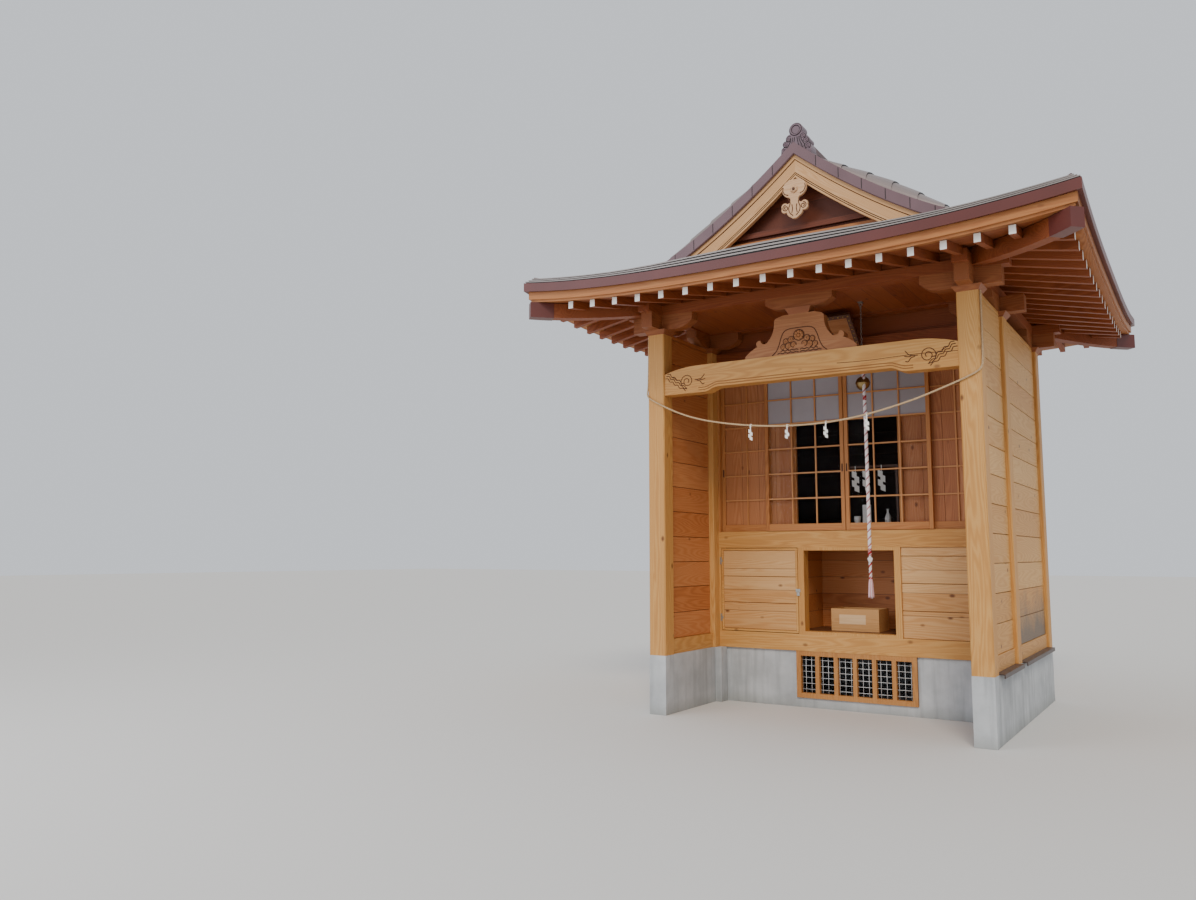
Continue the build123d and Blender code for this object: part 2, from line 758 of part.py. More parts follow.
# Walls of drop-in boards between the posts
wall_x = (half_width - wall_recess - wall_board, half_width - wall_recess)
rear_wall_y = (half_depth - wall_recess - wall_board, half_depth - wall_recess)
for side_name, x_span in zip(("right", "left"), both_sides(wall_x)):
    with BuildPart() as wall:
        for bay in bays:
            block(x_span, bay, (side_sill_top, capital_top))
        add(post_capitals.part, mode=Mode.SUBTRACT)
    save(wall, f"{side_name}_wall")

with BuildPart() as rear_wall:
    block((-inner_x, inner_x), rear_wall_y, (side_sill_top, arm_top))
    add(post_capitals.part, mode=Mode.SUBTRACT)
    add(cross_arms.part, mode=Mode.SUBTRACT)
save(rear_wall, "rear_wall")

# Hall front: waist rail, track, lintel and the boards above it
waist_z = foundation_height + 875
track_z = waist_z + 73
track_top = track_z + 67
lintel_bottom = track_top + 1410
lintel_top = lintel_bottom + 221
groove_depth = 15
track_rib = 5
panel_thickness = 30
front_track = hall_y + 27  # middle of the inner pair of lattice doors
track_spacing = 37
rear_track = front_track + track_spacing
rib_half = 3
groove_play = 5
transom_setback = 25  # rear face of the lintel to the rear face of the boards above it
transom_board = 30
ceiling_z = arm_top + 15
ceiling_board = 15
with BuildPart() as waist_rail:
    block((-inner_x, inner_x), (hall_y, hall_back_y), (waist_z, track_z))
save(waist_rail, "waist_rail")

with BuildPart() as lattice_track:
    block((-inner_x, inner_x), (hall_y, hall_back_y), (track_z, track_top))
    for y in (front_track, rear_track):
        block((-inner_x, inner_x), (y - rib_half, y + rib_half), (track_top, track_top + track_rib))
save(lattice_track, "lattice_track")

with BuildPart() as lattice_lintel:
    block((-inner_x, inner_x), (hall_y, hall_back_y), (lintel_bottom, lintel_top))
    groove_half = panel_thickness / 2 + groove_play
    groove = (front_track - groove_half, rear_track + groove_half)
    block((-inner_x, inner_x), groove, (lintel_bottom, lintel_bottom + groove_depth), mode=Mode.SUBTRACT)
save(lattice_lintel, "lattice_lintel")

with BuildPart() as transom_boards:
    transom_y = hall_back_y - transom_setback
    block((-inner_x, inner_x), (transom_y - transom_board, transom_y), (lintel_top, purlin_top))
    add(cross_purlins.part, mode=Mode.SUBTRACT)
    add(cross_arms.part, mode=Mode.SUBTRACT)
    add(post_capitals.part, mode=Mode.SUBTRACT)
save(transom_boards, "transom_boards")

with BuildPart() as ceiling_boards:
    porch_bay = (-post_y + purlin_half, cross_beam_y[0])
    hall_bay = (transom_y, post_y - purlin_half)
    for bay in (porch_bay, hall_bay):
        block((-between_purlins, between_purlins), bay, (ceiling_z, ceiling_z + ceiling_board))
save(ceiling_boards, "ceiling_boards")

# Floors inside the hall: one on the sills, one behind the track
floor_board = 22
with BuildPart() as hall_floors:
    floor_y = (hall_back_y, rear_wall_y[0])
    for top in (front_sill_top, track_top):
        block((-inner_x, inner_x), floor_y, (top - floor_board, top))
    block((-inner_x, inner_x), rear_sill_y, (foundation_height, side_sill_top), mode=Mode.SUBTRACT)
save(hall_floors, "hall_floors")

# Niche for the offering box: a frame in the hall front and a board lining behind it
niche_middle = 10
niche_width = 770
niche_jamb = 53
niche_head = 25
niche_threshold = 23
niche_depth = 662
niche_lining_side = 77  # lining beside the opening
niche_lining_top = 40
lining_board = 15
niche_x = (niche_middle - niche_width / 2, niche_middle + niche_width / 2)
jamb_x = (niche_x[0] - niche_jamb, niche_x[1] + niche_jamb)
niche_floor = front_sill_top + niche_threshold
hinge_strip = 20
with BuildPart() as niche_frame:
    block(jamb_x, (hall_y, hall_back_y), (front_sill_top, waist_z))
    block(niche_x, (hall_y, hall_back_y), (niche_floor, waist_z - niche_head), mode=Mode.SUBTRACT)
    block((-inner_x, -inner_x + hinge_strip), (hall_y, hall_back_y), (front_sill_top, waist_z))
save(niche_frame, "niche_frame")

lining_x = (niche_x[0] - niche_lining_side, niche_x[1] + niche_lining_side)
lining_top = waist_z + niche_lining_top
with BuildPart() as niche_lining:
    outer_x = (lining_x[0] - lining_board, lining_x[1] + lining_board)
    back_y = hall_y + niche_depth
    block(outer_x, (hall_back_y, back_y + lining_board), (front_sill_top, lining_top + lining_board))
    block(lining_x, (hall_back_y, back_y), (niche_floor, lining_top), mode=Mode.SUBTRACT)
save(niche_lining, "niche_lining")

# Lower right panel of fixed boards
panel_setback = 12
lower_board = 30
with BuildPart() as lower_right_panel:
    lower_y = (hall_y + panel_setback, hall_y + panel_setback + lower_board)
    block((jamb_x[1], inner_x), lower_y, (front_sill_top, waist_z))
save(lower_right_panel, "lower_right_panel")

# Access door to the left of the niche, hung on two butt hinges at its left edge
door_gap = 5
door_thickness = 30
door_margin = 18
door_recess = 5
door_x = (-inner_x + hinge_strip + door_gap, jamb_x[0] - door_gap)
door_z = (front_sill_top + door_gap, waist_z - door_gap)
with BuildPart() as access_door:
    block(door_x, (hall_y, hall_y + door_thickness), door_z)
    field_x = (door_x[0] + door_margin, door_x[1] - door_margin)
    field_z = (door_z[0] + door_margin, door_z[1] - door_margin)
    block(field_x, (hall_y, hall_y + door_recess), field_z, mode=Mode.SUBTRACT)
save(access_door, "access_door")

hinge_radius = 4
hinge_length = 66
hinge_leaf = 1.5
hinge_leaf_width = 14
hinge_x = door_x[0] - door_gap / 2
hinge_y = hall_y - hinge_radius - seat
hinge_inset = 110  # middle of a hinge from the end of the door
hinge_heights = (door_z[0] + hinge_inset, door_z[1] - hinge_inset)
knuckle = hinge_length / 3


def knuckles(x, lows, length):
    for low in lows:
        with Locations((x, hinge_y, low)):
            Cylinder(hinge_radius, length, align=(Align.CENTER, Align.CENTER, Align.MIN))


leaf_y = (hall_y - hinge_leaf, hall_y)
with BuildPart() as hinge_frame_leaves:
    for middle in hinge_heights:
        low = middle - hinge_length / 2
        for start in (low, low + 2 * knuckle):
            knuckles(hinge_x, [start], knuckle)
            block((hinge_x - hinge_leaf_width, hinge_x), leaf_y, (start, start + knuckle))
        block((hinge_x - hinge_leaf_width, hinge_x - hinge_radius - 1), leaf_y, (low, low + hinge_length))
save(hinge_frame_leaves, "hinge_frame_leaves")

hasp_z = (door_z[0] + door_z[1]) / 2
hasp_height = 26
hasp_sheet = 3
hasp_overlap = 18  # length of the hasp on the door's edge and on the jamb
shackle_radius = 9
shackle_wire = 2.5
padlock_width = 26
padlock_height = 30
padlock_thickness = 8
padlock_y = hall_y - hasp_sheet - shackle_wire + seat
padlock_drop = 2
padlock_top = hasp_z - hasp_height / 2 - padlock_drop
with BuildPart() as door_hardware:
    for middle in hinge_heights:
        low = middle - knuckle / 2 + seat
        knuckles(hinge_x, [low], knuckle - 2 * seat)
        block((hinge_x, hinge_x + hinge_leaf_width), leaf_y, (low, low + knuckle - 2 * seat))
    hasp_span = (hasp_z - hasp_height / 2, hasp_z + hasp_height / 2)
    hasp_x = (door_x[1] - hasp_overlap, jamb_x[0] + hasp_overlap)
    block(hasp_x, (hall_y - hasp_sheet, hall_y - seat), hasp_span)
    block((hasp_x[0], door_x[1] - 1), (hall_y - hasp_sheet, hall_y), hasp_span)
    with Locations((jamb_x[0], padlock_y, padlock_top - padlock_height / 2)):
        Box(padlock_width, padlock_thickness, padlock_height)
    flat_ring((jamb_x[0], padlock_y, padlock_top), shackle_radius, shackle_wire, (90, 0, 0))
save(door_hardware, "door_hardware")

# Lattice doors: the inner pair on the front track, the outer pair on the rear track
panel_width = 715
panel_bottom = track_top + track_rib + seat
panel_top = lintel_bottom + groove_depth - groove_play
meeting_gap = 3
overlap_edge = 442  # inner edge of the outer pair
stile = 32
bottom_rail = 60
top_rail = 35
muntin = 12
muntin_depth = 14
muntin_setback = 2
lattice_columns = 3
lattice_rows = 6
backing = 8
glass_thickness = 3


def lattice_door(x_span, y, backed):
    y_span = (y - panel_thickness / 2, y + panel_thickness / 2)
    field_x = (x_span[0] + stile, x_span[1] - stile)
    field_z = (panel_bottom + bottom_rail, panel_top - top_rail)
    with BuildPart() as door:
        block(x_span, y_span, (panel_bottom, panel_top))
        block(field_x, y_span, field_z, mode=Mode.SUBTRACT)
        bar_y = (y_span[0] + muntin_setback, y_span[0] + muntin_setback + muntin_depth)
        for column in range(1, lattice_columns):
            x = field_x[0] + (field_x[1] - field_x[0]) * column / lattice_columns
            block((x - muntin / 2, x + muntin / 2), bar_y, field_z)
        for row in range(1, lattice_rows):
            z = field_z[0] + (field_z[1] - field_z[0]) * row / lattice_rows
            block(field_x, bar_y, (z - muntin / 2, z + muntin / 2))
        if backed:
            block(field_x, (bar_y[1], bar_y[1] + backing), field_z)
    return door


def door_glass(x_span, y):
    front = y - panel_thickness / 2 + muntin_setback + muntin_depth
    with BuildPart() as glass:
        block((x_span[0] + stile, x_span[1] - stile), (front, front + glass_thickness),
              (panel_bottom + bottom_rail, panel_top - top_rail))
    return glass


inner_span = (meeting_gap, meeting_gap + panel_width)
outer_span = (overlap_edge, overlap_edge + panel_width)
for side_name, inner, outer in zip(("right", "left"), both_sides(inner_span), both_sides(outer_span)):
    save(lattice_door(inner, front_track, False), f"inner_{side_name}_lattice_door")
    save(door_glass(inner, front_track), f"inner_{side_name}_glass")
    save(lattice_door(outer, rear_track, True), f"outer_{side_name}_lattice_door")

# Offering box in the niche: open slats across the top
box_x = (-224, 188)
box_front = -62
box_depth = 290
box_height = 188
box_board = 15
box_slats = 5
slat = 26
slat_thickness = 18
slat_drop = 12  # top of the slats below the rim
box_z = (niche_floor, niche_floor + box_height)
with BuildPart() as offering_box:
    box_y = (box_front, box_front + box_depth)
    block(box_x, box_y, box_z)
    inner_box = ((box_x[0] + box_board, box_x[1] - box_board), (box_y[0] + box_board, box_y[1] - box_board),
                 (box_z[0] + box_board, box_z[1]))
    block(*inner_box, mode=Mode.SUBTRACT)
    slot = (inner_box[1][1] - inner_box[1][0] - box_slats * slat) / (box_slats + 1)
    slat_z = (box_z[1] - slat_drop - slat_thickness, box_z[1] - slat_drop)
    for index in range(box_slats):
        front = inner_box[1][0] + slot + index * (slat + slot)
        block(inner_box[0], (front, front + slat), slat_z)
save(offering_box, "offering_box")

# Altar shelf: a board on two bearers
shelf_x = (-420, 480)
shelf_y = (60, 330)
shelf_height = 70
shelf_board = 22
bearer = 30
bearer_inset = 30
bearer_setback = 20
with BuildPart() as altar_shelf:
    shelf_top = track_top + shelf_height
    block(shelf_x, shelf_y, (shelf_top - shelf_board, shelf_top))
    for left in (shelf_x[0] + bearer_inset, shelf_x[1] - bearer_inset - bearer):
        bearer_y = (shelf_y[0] + bearer_setback, shelf_y[1] - bearer_setback)
        block((left, left + bearer), bearer_y, (track_top, shelf_top - shelf_board))
save(altar_shelf, "altar_shelf")

# Name plaque, leaning forward from the lintel
plaque_width = 400
plaque_height = 440
plaque_thickness = 24
plaque_lean = 50
plaque_foot_z = lintel_bottom + 70
plaque_rim = 34
plaque_rim_proud = 14
lean = radians(plaque_lean)
plaque_foot_y = hall_y - seat - plaque_thickness * cos(lean)
plaque_foot = (0, plaque_foot_y, plaque_foot_z)
plaque_plane = Plane(origin=plaque_foot, x_dir=(1, 0, 0), z_dir=(0, -cos(lean), -sin(lean)))
with BuildPart() as name_plaque:
    with Locations(plaque_plane):
        with Locations((0, plaque_height / 2, plaque_rim_proud)):
            full = plaque_thickness + plaque_rim_proud
            field = (plaque_width - 2 * plaque_rim, plaque_height - 2 * plaque_rim)
            Box(plaque_width, plaque_height, full, align=(Align.CENTER, Align.CENTER, Align.MAX))
            Box(*field, plaque_rim_proud, align=(Align.CENTER, Align.CENTER, Align.MAX), mode=Mode.SUBTRACT)
save(name_plaque, "name_plaque")

# Bell: it hangs on a chain from a ring under the porch ceiling
bell_x = 325
bell_y = -750
bell_radius = 55
bell_z = ceiling_z - 660
ring_radius = 12
ring_wire = 3
ring_drop = 22  # middle of the ring below the ceiling
ring_plate = 40
ring_plate_thickness = 6
ring_z = ceiling_z - ring_drop
pivot_z = ring_z - ring_radius
link_play = 1.2  # between the two rings, whose wires are square
chain_ring_z = pivot_z + 2 * ring_wire + link_play - ring_radius
chain_wire = 4
bell_shank = 14
bell_top = bell_z + bell_radius + bell_shank
with BuildPart() as bell_hook:
    with Locations((bell_x, bell_y, ceiling_z)):
        Box(ring_plate, ring_plate, ring_plate_thickness, align=(Align.CENTER, Align.CENTER, Align.MAX))
    flat_ring((bell_x, bell_y, ring_z), ring_radius, ring_wire, (90, 0, 0))
    block((bell_x - ring_wire, bell_x + ring_wire), (bell_y - ring_wire, bell_y + ring_wire),
          (ring_z + ring_radius, ceiling_z - ring_plate_thickness))
save(bell_hook, "bell_hook")

bell_wall = 3
bell_mouth = 5
bell_band = 6
shank_radius = 8
upwards = (Align.CENTER, Align.CENTER, Align.MIN)
bell_rows = 12  # conical rows that make up the ball


def half_ball(radius):
    """Outline of half the ball's section, from its foot to its head."""
    angles = [pi * row / bell_rows for row in range(bell_rows + 1)]
    return [(bell_x + radius * sin(angle), bell_z - radius * cos(angle)) for angle in angles]


with BuildPart() as bell:
    with BuildSketch(Plane.XZ.offset(-bell_y)):
        for radius, mode in ((bell_radius, Mode.ADD), (bell_radius - bell_wall, Mode.SUBTRACT)):
            with BuildLine():
                Polyline(*half_ball(radius), close=True)
            make_face(mode=mode)
    revolve(axis=Axis((bell_x, bell_y, 0), (0, 0, 1)))
    with Locations((bell_x, bell_y, bell_z)):
        Cylinder(bell_radius + bell_wall, bell_band)
        Cylinder(bell_radius - bell_wall, bell_band, mode=Mode.SUBTRACT)
        with Locations((0, 0, -bell_radius / 2)):
            Box(2 * bell_radius, bell_mouth, bell_radius, mode=Mode.SUBTRACT)
        with Locations((0, 0, bell_radius - bell_wall / 2)):
            Cylinder(shank_radius, bell_shank + bell_wall / 2, align=upwards)
    with Locations((bell_x, bell_y, bell_top)):
        Cylinder(chain_wire, chain_ring_z - ring_radius - bell_top, align=upwards)
    flat_ring((bell_x, bell_y, chain_ring_z), ring_radius, ring_wire, (0, 90, 0))
save(bell, "bell")

# Ropes: tubes of straight runs with an arc at each point of the route
corner_share = 0.45  # part of a run that the arc at its end takes


def corner_radii(route):
    """Radius of the arc at each inner point, as large as its shorter run allows."""
    points = [Vector(point) for point in route]
    radii = []
    for before, point, after in zip(points, points[1:], points[2:]):
        arriving, leaving = point - before, after - point
        turn = radians(arriving.get_angle(leaving))
        radii.append(corner_share * min(arriving.length, leaving.length) / tan(turn / 2))
    return radii


def rope(route, diameter):
    radii = corner_radii(route)
    with BuildPart() as tube:
        with BuildLine() as path:
            if len(route) > 2:
                FilletPolyline(*route, radius=radii)
            else:
                Line(*route)
        with BuildSketch(Plane(origin=path.line @ 0, z_dir=path.line % 0)):
            Circle(diameter / 2)
        sweep()
    length = path.wire().length
    ratio = tube.part.volume / (pi * diameter**2 / 4 * length)
    print("radii", [round(radius) for radius in radii], "length", round(length), "volume", round(ratio, 4))
    return tube


bell_rope_diameter = 29
bell_rope_length = 1691  # foot of the rope below the middle of the bell
bell_rope_route = [
    (bell_x + 9, bell_y - 18, bell_z + 95), (bell_x + 36, bell_y - 64, bell_z + 28),
    (bell_x + 36, bell_y - 64, bell_z - bell_rope_length),
]
save(rope(bell_rope_route, bell_rope_diameter), "bell_rope")

# Straw rope: from under the right capital round the post, across the porch and up again.
# Heights are drops below the post tops.
straw_rope_diameter = 15
straw_rope_points = [
    (-1333, -1270, 1), (-1334, -1274, 430), (-1335, -1303, 505), (-1300, -1312, 550), (-950, -1313, 728),
    (-520, -1315, 822), (-60, -1315, 866), (400, -1315, 846), (820, -1315, 755), (1100, -1312, 660),
    (1300, -1312, 585), (1335, -1303, 540), (1334, -1274, 455), (1333, -1270, 1),
]
straw_rope_route = [(x, y, post_top - drop) for x, y, drop in straw_rope_points]
save(rope(straw_rope_route, straw_rope_diameter), "straw_rope")
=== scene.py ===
# Looks of the wayside shrine: oiled cedar timbers and boards, brown coated steel roofing, fair-faced
# concrete, lattice doors, a brass bell with its twisted rope and a straw rope with paper streamers.
# Metres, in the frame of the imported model: +Z up, the porch opens towards -Y.
from math import atan2, cos, pi, radians, sin, sqrt
import bmesh
import bpy
import numpy as np
from mathutils import Matrix, Vector


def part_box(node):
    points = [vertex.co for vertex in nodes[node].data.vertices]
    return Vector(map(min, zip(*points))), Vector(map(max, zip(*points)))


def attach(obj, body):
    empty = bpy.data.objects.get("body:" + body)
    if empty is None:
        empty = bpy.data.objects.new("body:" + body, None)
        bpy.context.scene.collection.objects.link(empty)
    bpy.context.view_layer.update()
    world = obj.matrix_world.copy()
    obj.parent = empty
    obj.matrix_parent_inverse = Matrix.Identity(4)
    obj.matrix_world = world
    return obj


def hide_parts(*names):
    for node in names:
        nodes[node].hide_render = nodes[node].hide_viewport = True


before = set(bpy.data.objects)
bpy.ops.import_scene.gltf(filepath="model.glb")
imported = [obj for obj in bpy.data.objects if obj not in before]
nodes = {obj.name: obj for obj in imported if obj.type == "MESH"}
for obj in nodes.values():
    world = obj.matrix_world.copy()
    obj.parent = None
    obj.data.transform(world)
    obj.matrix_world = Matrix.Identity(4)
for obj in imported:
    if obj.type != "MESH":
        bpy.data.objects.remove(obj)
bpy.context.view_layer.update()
rng = np.random.default_rng(7)

# Sizes of the solids
post, post_x, post_y, middle_y = 0.150, 1.250, 1.225, -0.320
inner_x = post_x - post / 2
hall_y, hall_back = -0.294, -0.189
post_top = 3.122
eave_x, eave_y, eave_z = 2.075, 2.050, 3.415  # eave edges, and the covering at the middle of an eave
cover, verge_inset, skirt_far, skirt_head = 0.070, 0.770, 0.900, 1.030
board_pitch, wall_foot = 0.211, 0.590


# Material helpers
def linear(code):
    """sRGB hex to a linear colour."""
    parts = [int(code[i:i + 2], 16) / 255 for i in (0, 2, 4)]
    return [c / 12.92 if c <= 0.04045 else ((c + 0.055) / 1.055) ** 2.4 for c in parts] + [1.0]


def feed(node, inputs):
    """Sets or links a node's inputs; a node given as a value links its first output."""
    for key, value in inputs.items():
        if isinstance(value, bpy.types.Node):
            value = value.outputs[0]
        if isinstance(value, bpy.types.NodeSocket):
            node.id_data.links.new(value, node.inputs[key])
        else:
            node.inputs[key].default_value = value


def add(tree, kind, inputs=None, stops=(), **settings):
    """Adds a node with its settings, its inputs, and the stops of a colour ramp."""
    node = tree.nodes.new(kind)
    for key, value in settings.items():
        setattr(node, key, value)
    feed(node, inputs or {})
    for index, (place, code) in enumerate(stops):
        elements = node.color_ramp.elements
        element = elements[index] if index < 2 else elements.new(place)
        element.position, element.color = place, linear(code)
    return node


def new_material(name):
    """A material with its tree, its shader and the object's own coordinates."""
    material = bpy.data.materials.new(name)
    material.use_nodes = True
    tree = material.node_tree
    place = add(tree, "ShaderNodeTexCoord").outputs["Object"]
    return material, tree, tree.nodes["Principled BSDF"], place


def per_metre(size):
    """How often a pattern repeats in a metre, from its real size in millimetres."""
    return 1000 / size


# Timber
ROOF_ANGLE = radians(35)  # mean slope of the gable's bargeboards
GRAIN_TURNS = {"x": (0, pi / 2, 0), "y": (pi / 2, 0, 0), "z": (0, 0, 0),
               "falling": (0, pi / 2 - ROOF_ANGLE, 0), "rising": (0, pi / 2 + ROOF_ANGLE, 0)}
KNOT, BOARD_JOINT, RAIN_GREY = linear("5E3016"), linear("3A2012"), linear("5E5850")
WAVE_STEP = pi / 10  # distance between the crests of a wave texture whose scale is one


def board_cut(tree, turned, height, board):
    """Gives each board its own tone and its own cut of the grain."""
    number = add(tree, "ShaderNodeMath", {0: height, 1: board}, operation="DIVIDE")
    number = add(tree, "ShaderNodeMath", {0: number}, operation="FLOOR")
    tone = add(tree, "ShaderNodeTexWhiteNoise", {"W": number}, noise_dimensions="1D")
    shift = add(tree, "ShaderNodeVectorMath", {0: tone.outputs["Color"], 1: (3.0, 3.0, 3.0)},
                operation="MULTIPLY")
    return tone, add(tree, "ShaderNodeVectorMath", {0: turned, 1: shift}, operation="ADD")


def growth_rings(tree, slow):
    """Growth rings, 3 to 6 mm apart in the trunk and 22 mm on a face sawn flat through them."""
    bend = add(tree, "ShaderNodeTexNoise", {"Vector": slow, "Scale": per_metre(312.5), "Detail": 2.0})
    bent = add(tree, "ShaderNodeVectorMath", {0: slow, 1: bend.outputs["Color"]}, operation="ADD")
    wave = {"Vector": bent, "Scale": WAVE_STEP * per_metre(22.44), "Distortion": 5.0, "Detail": 2.0,
            "Detail Scale": 1.4}
    return add(tree, "ShaderNodeTexWave", wave).outputs["Fac"]


def with_knots(tree, colour, turned, strength):
    """Dark knots 15 to 37 mm across, a hand's breadth or more apart, drawn out along the grain."""
    spots = add(tree, "ShaderNodeMapping", {"Vector": turned, "Scale": (1.0, 1.0, 0.62)})
    cells = add(tree, "ShaderNodeTexVoronoi", {"Vector": spots, "Scale": per_metre(166.67),
                                               "Randomness": 1.0})
    knot = add(tree, "ShaderNodeMapRange", {"Value": cells, "From Min": 0.045, "From Max": 0.11,
                                            "To Min": 0.85 * strength, "To Max": 0.0})
    return add(tree, "ShaderNodeMix", {0: knot, 6: colour, 7: KNOT}, data_type="RGBA").outputs[2]


def with_joints(tree, colour, height, board):
    """A dark joint between each two boards, 2 mm wide with a soft edge."""
    edge = add(tree, "ShaderNodeMath", {0: height, 1: board / 2}, operation="PINGPONG")
    joint = add(tree, "ShaderNodeMapRange", {"Value": edge, "From Min": 0.001, "From Max": 0.0025,
                                             "To Min": 0.8, "To Max": 0.0})
    return add(tree, "ShaderNodeMix", {0: joint, 6: colour, 7: BOARD_JOINT}, data_type="RGBA").outputs[2]


def with_weather(tree, colour, place, up, strength):
    """Grey rain stains on the lowest boards, with a cloudy upper edge."""
    cloud = add(tree, "ShaderNodeTexNoise", {"Vector": place, "Scale": per_metre(333.3), "Detail": 5.0,
                                             "Roughness": 0.65})
    level = add(tree, "ShaderNodeMath", {0: cloud, 1: -0.5, 2: up}, operation="MULTIPLY_ADD")
    grey = add(tree, "ShaderNodeMapRange", {"Value": level, "From Min": 0.42, "From Max": 0.74,
                                            "To Min": strength, "To Max": 0.0})
    return add(tree, "ShaderNodeMix", {0: grey, 6: colour, 7: RAIN_GREY}, data_type="RGBA").outputs[2]


def timber(name, along, tones, board=0.0, across="z", knots=1.0, sheen=0.55, board_start=0.0, weather=0.0,
           lines=True):
    """Oiled cedar: growth rings drawn out along the grain, dark knots, a soft satin surface.

    tones run from the summer wood to the pale wood. board is the width of one board, and
    lines draws the joint between two. weather greys the wood towards the ground, where rain
    splashes it."""
    material, tree, shader, place = new_material(name)
    axes = add(tree, "ShaderNodeSeparateXYZ", {0: place})
    turned = add(tree, "ShaderNodeMapping", {"Vector": place, "Rotation": GRAIN_TURNS[along]})
    if board:
        height = add(tree, "ShaderNodeMath", {0: axes.outputs["xyz".index(across)], 1: board_start},
                     operation="SUBTRACT")
        tone, turned = board_cut(tree, turned, height, board)
    # the figure is drawn out some 12 times along the grain and the fibres 33 times
    slow = add(tree, "ShaderNodeMapping", {"Vector": turned, "Scale": (1.0, 1.0, 0.09)})
    fine = add(tree, "ShaderNodeMapping", {"Vector": turned, "Scale": (1.0, 1.0, 0.03)})
    rings = growth_rings(tree, slow)
    patches = add(tree, "ShaderNodeTexNoise", {"Vector": slow, "Scale": per_metre(588.2), "Detail": 3.0})
    # real fibres are under 0.1 mm wide; these are 4 mm, as coarse as it takes to show
    fibres = add(tree, "ShaderNodeTexNoise", {"Vector": fine, "Scale": per_metre(3.846), "Detail": 3.0})
    grain = add(tree, "ShaderNodeMath", {0: rings, 1: 0.26}, operation="MULTIPLY")
    grain = add(tree, "ShaderNodeMath", {0: patches, 1: 0.72, 2: grain}, operation="MULTIPLY_ADD")
    if board:
        grain = add(tree, "ShaderNodeMath", {0: tone, 1: 0.26, 2: grain}, operation="MULTIPLY_ADD")
    colour = add(tree, "ShaderNodeValToRGB", {"Fac": grain},
                 ((0.12, tones[0]), (0.5, tones[1]), (0.92, tones[2])))
    veil = add(tree, "ShaderNodeMath", {0: fibres, 1: 0.3}, operation="MULTIPLY")
    veiled = add(tree, "ShaderNodeMix", {0: veil, 6: colour, 7: linear(tones[0])}, data_type="RGBA")
    colour = with_knots(tree, veiled.outputs[2], turned, knots)
    if board and lines:
        colour = with_joints(tree, colour, height, board)
    if weather:
        colour = with_weather(tree, colour, place, axes.outputs["Z"], weather)
    relief = add(tree, "ShaderNodeMath", {0: rings, 1: 0.6, 2: fibres}, operation="MULTIPLY_ADD")
    grooves = add(tree, "ShaderNodeBump", {"Height": relief, "Distance": 0.0006, "Strength": 0.6})
    feed(shader, {"Base Color": colour, "Roughness": sheen, "Specular IOR Level": 0.35, "Normal": grooves})
    return material


# Tones of the cedar: honey where the sun bleaches it; the redder and darker sets are painted shade, where the
# roof and the porch shade the wood
OUTSIDE = ("AE7438", "CA9450", "DEB06E")
PORCH_SHADE = ("9A5428", "BC7440", "CE8D57")
EAVE_SHADE = ("6E3417", "8E4A26", "A45F36")
FASCIAS = ("8A5028", "AC6E3E", "BE8450")
BRACKET_SHADE = ("743E20", "94562F", "A86A3F")
PALE = ("B07F4E", "CFA06E", "E0B98C")
LOW_FRONT = ("AE7A42", "C8935A", "DAB07A")
LATTICE = ("9C5E2E", "B97A42", "C98F58")
MUNTIN_HIGHLIGHT = ("B07440", "C68A54", "D29E6C")
wall_boards = {"board": board_pitch, "board_start": wall_foot}

# Planed and oiled posts: honey, with wide figure and scattered knots that catch the eye
cedar_upright = timber("cedar_posts_oiled", "z", OUTSIDE)
# Beams and sills of the same wood: calmer, with fainter knots
cedar_cross = timber("cedar_beams_oiled", "x", OUTSIDE, knots=0.7)
cedar_long = timber("cedar_side_beams_oiled", "y", OUTSIDE, knots=0.7)
# Outer wall boards: each its own shade of honey, with a dark line between each two
cedar_boards_side = timber("cedar_side_boards_oiled", "y", OUTSIDE, **wall_boards)
cedar_boards_rear = timber("cedar_rear_boards_oiled", "x", OUTSIDE, **wall_boards)
# The same boards where rain splashes them: a cold grey foot that fades upwards
cedar_boards_stained = timber("cedar_side_boards_rain_stained", "y", OUTSIDE, weather=0.85, **wall_boards)
# Boards inside the porch and round the niche: red-brown, the shade of the porch painted into them
cedar_boards_porch = timber("cedar_porch_boards_oiled", "y", PORCH_SHADE, **wall_boards)
cedar_niche = timber("cedar_niche_boards", "x", PORCH_SHADE, board=0.150, board_start=0.635)
# Boards under the waist rail: the palest of the front
cedar_boards_low = timber("cedar_low_front_boards_oiled", "x", LOW_FRONT, board=0.1833, board_start=0.612)
# Brackets and capitals: warm brown, almost even, with the shade under the eaves painted into them
cedar_bracket_x = timber("cedar_brackets_across", "x", BRACKET_SHADE, knots=0.4)
cedar_bracket_y = timber("cedar_brackets_along", "y", BRACKET_SHADE, knots=0.4)
# Fascias: lighter than the painted shade of the timbers behind them, so that the eave keeps a painted bright
# line
cedar_fascia_x = timber("cedar_fascia_across", "x", FASCIAS, knots=0.6)
cedar_fascia_y = timber("cedar_fascia_along", "y", FASCIAS, knots=0.6)
# Rafters and purlins: deep red-brown, the shade of the roof painted into them
cedar_eaves_x = timber("cedar_eave_timber_across", "x", EAVE_SHADE, knots=0.6)
cedar_eaves_y = timber("cedar_eave_timber_along", "y", EAVE_SHADE, knots=0.6)
# Soffit and ceiling boards: the same painted shade of the roof, in strips of changing tone
cedar_soffit_x = timber("cedar_soffit_boards_across", "x", EAVE_SHADE, board=0.150, across="y")
cedar_soffit_y = timber("cedar_soffit_boards_along", "y", EAVE_SHADE, board=0.150, across="x")
# Gable boards: the darkest outside wood, the deep shade under the roof painted into them, which sets off the
# pale bargeboards
cedar_gable = timber("cedar_gable_boards_shaded", "x", ("4E2412", "66301A", "7C3E24"), board=0.180,
                     board_start=3.70)
# Boards of the unlit hall: near black, so that the panes look deep
cedar_hall = timber("cedar_hall_unlit", "x", ("2A1710", "382016", "46291B"), knots=0.0)
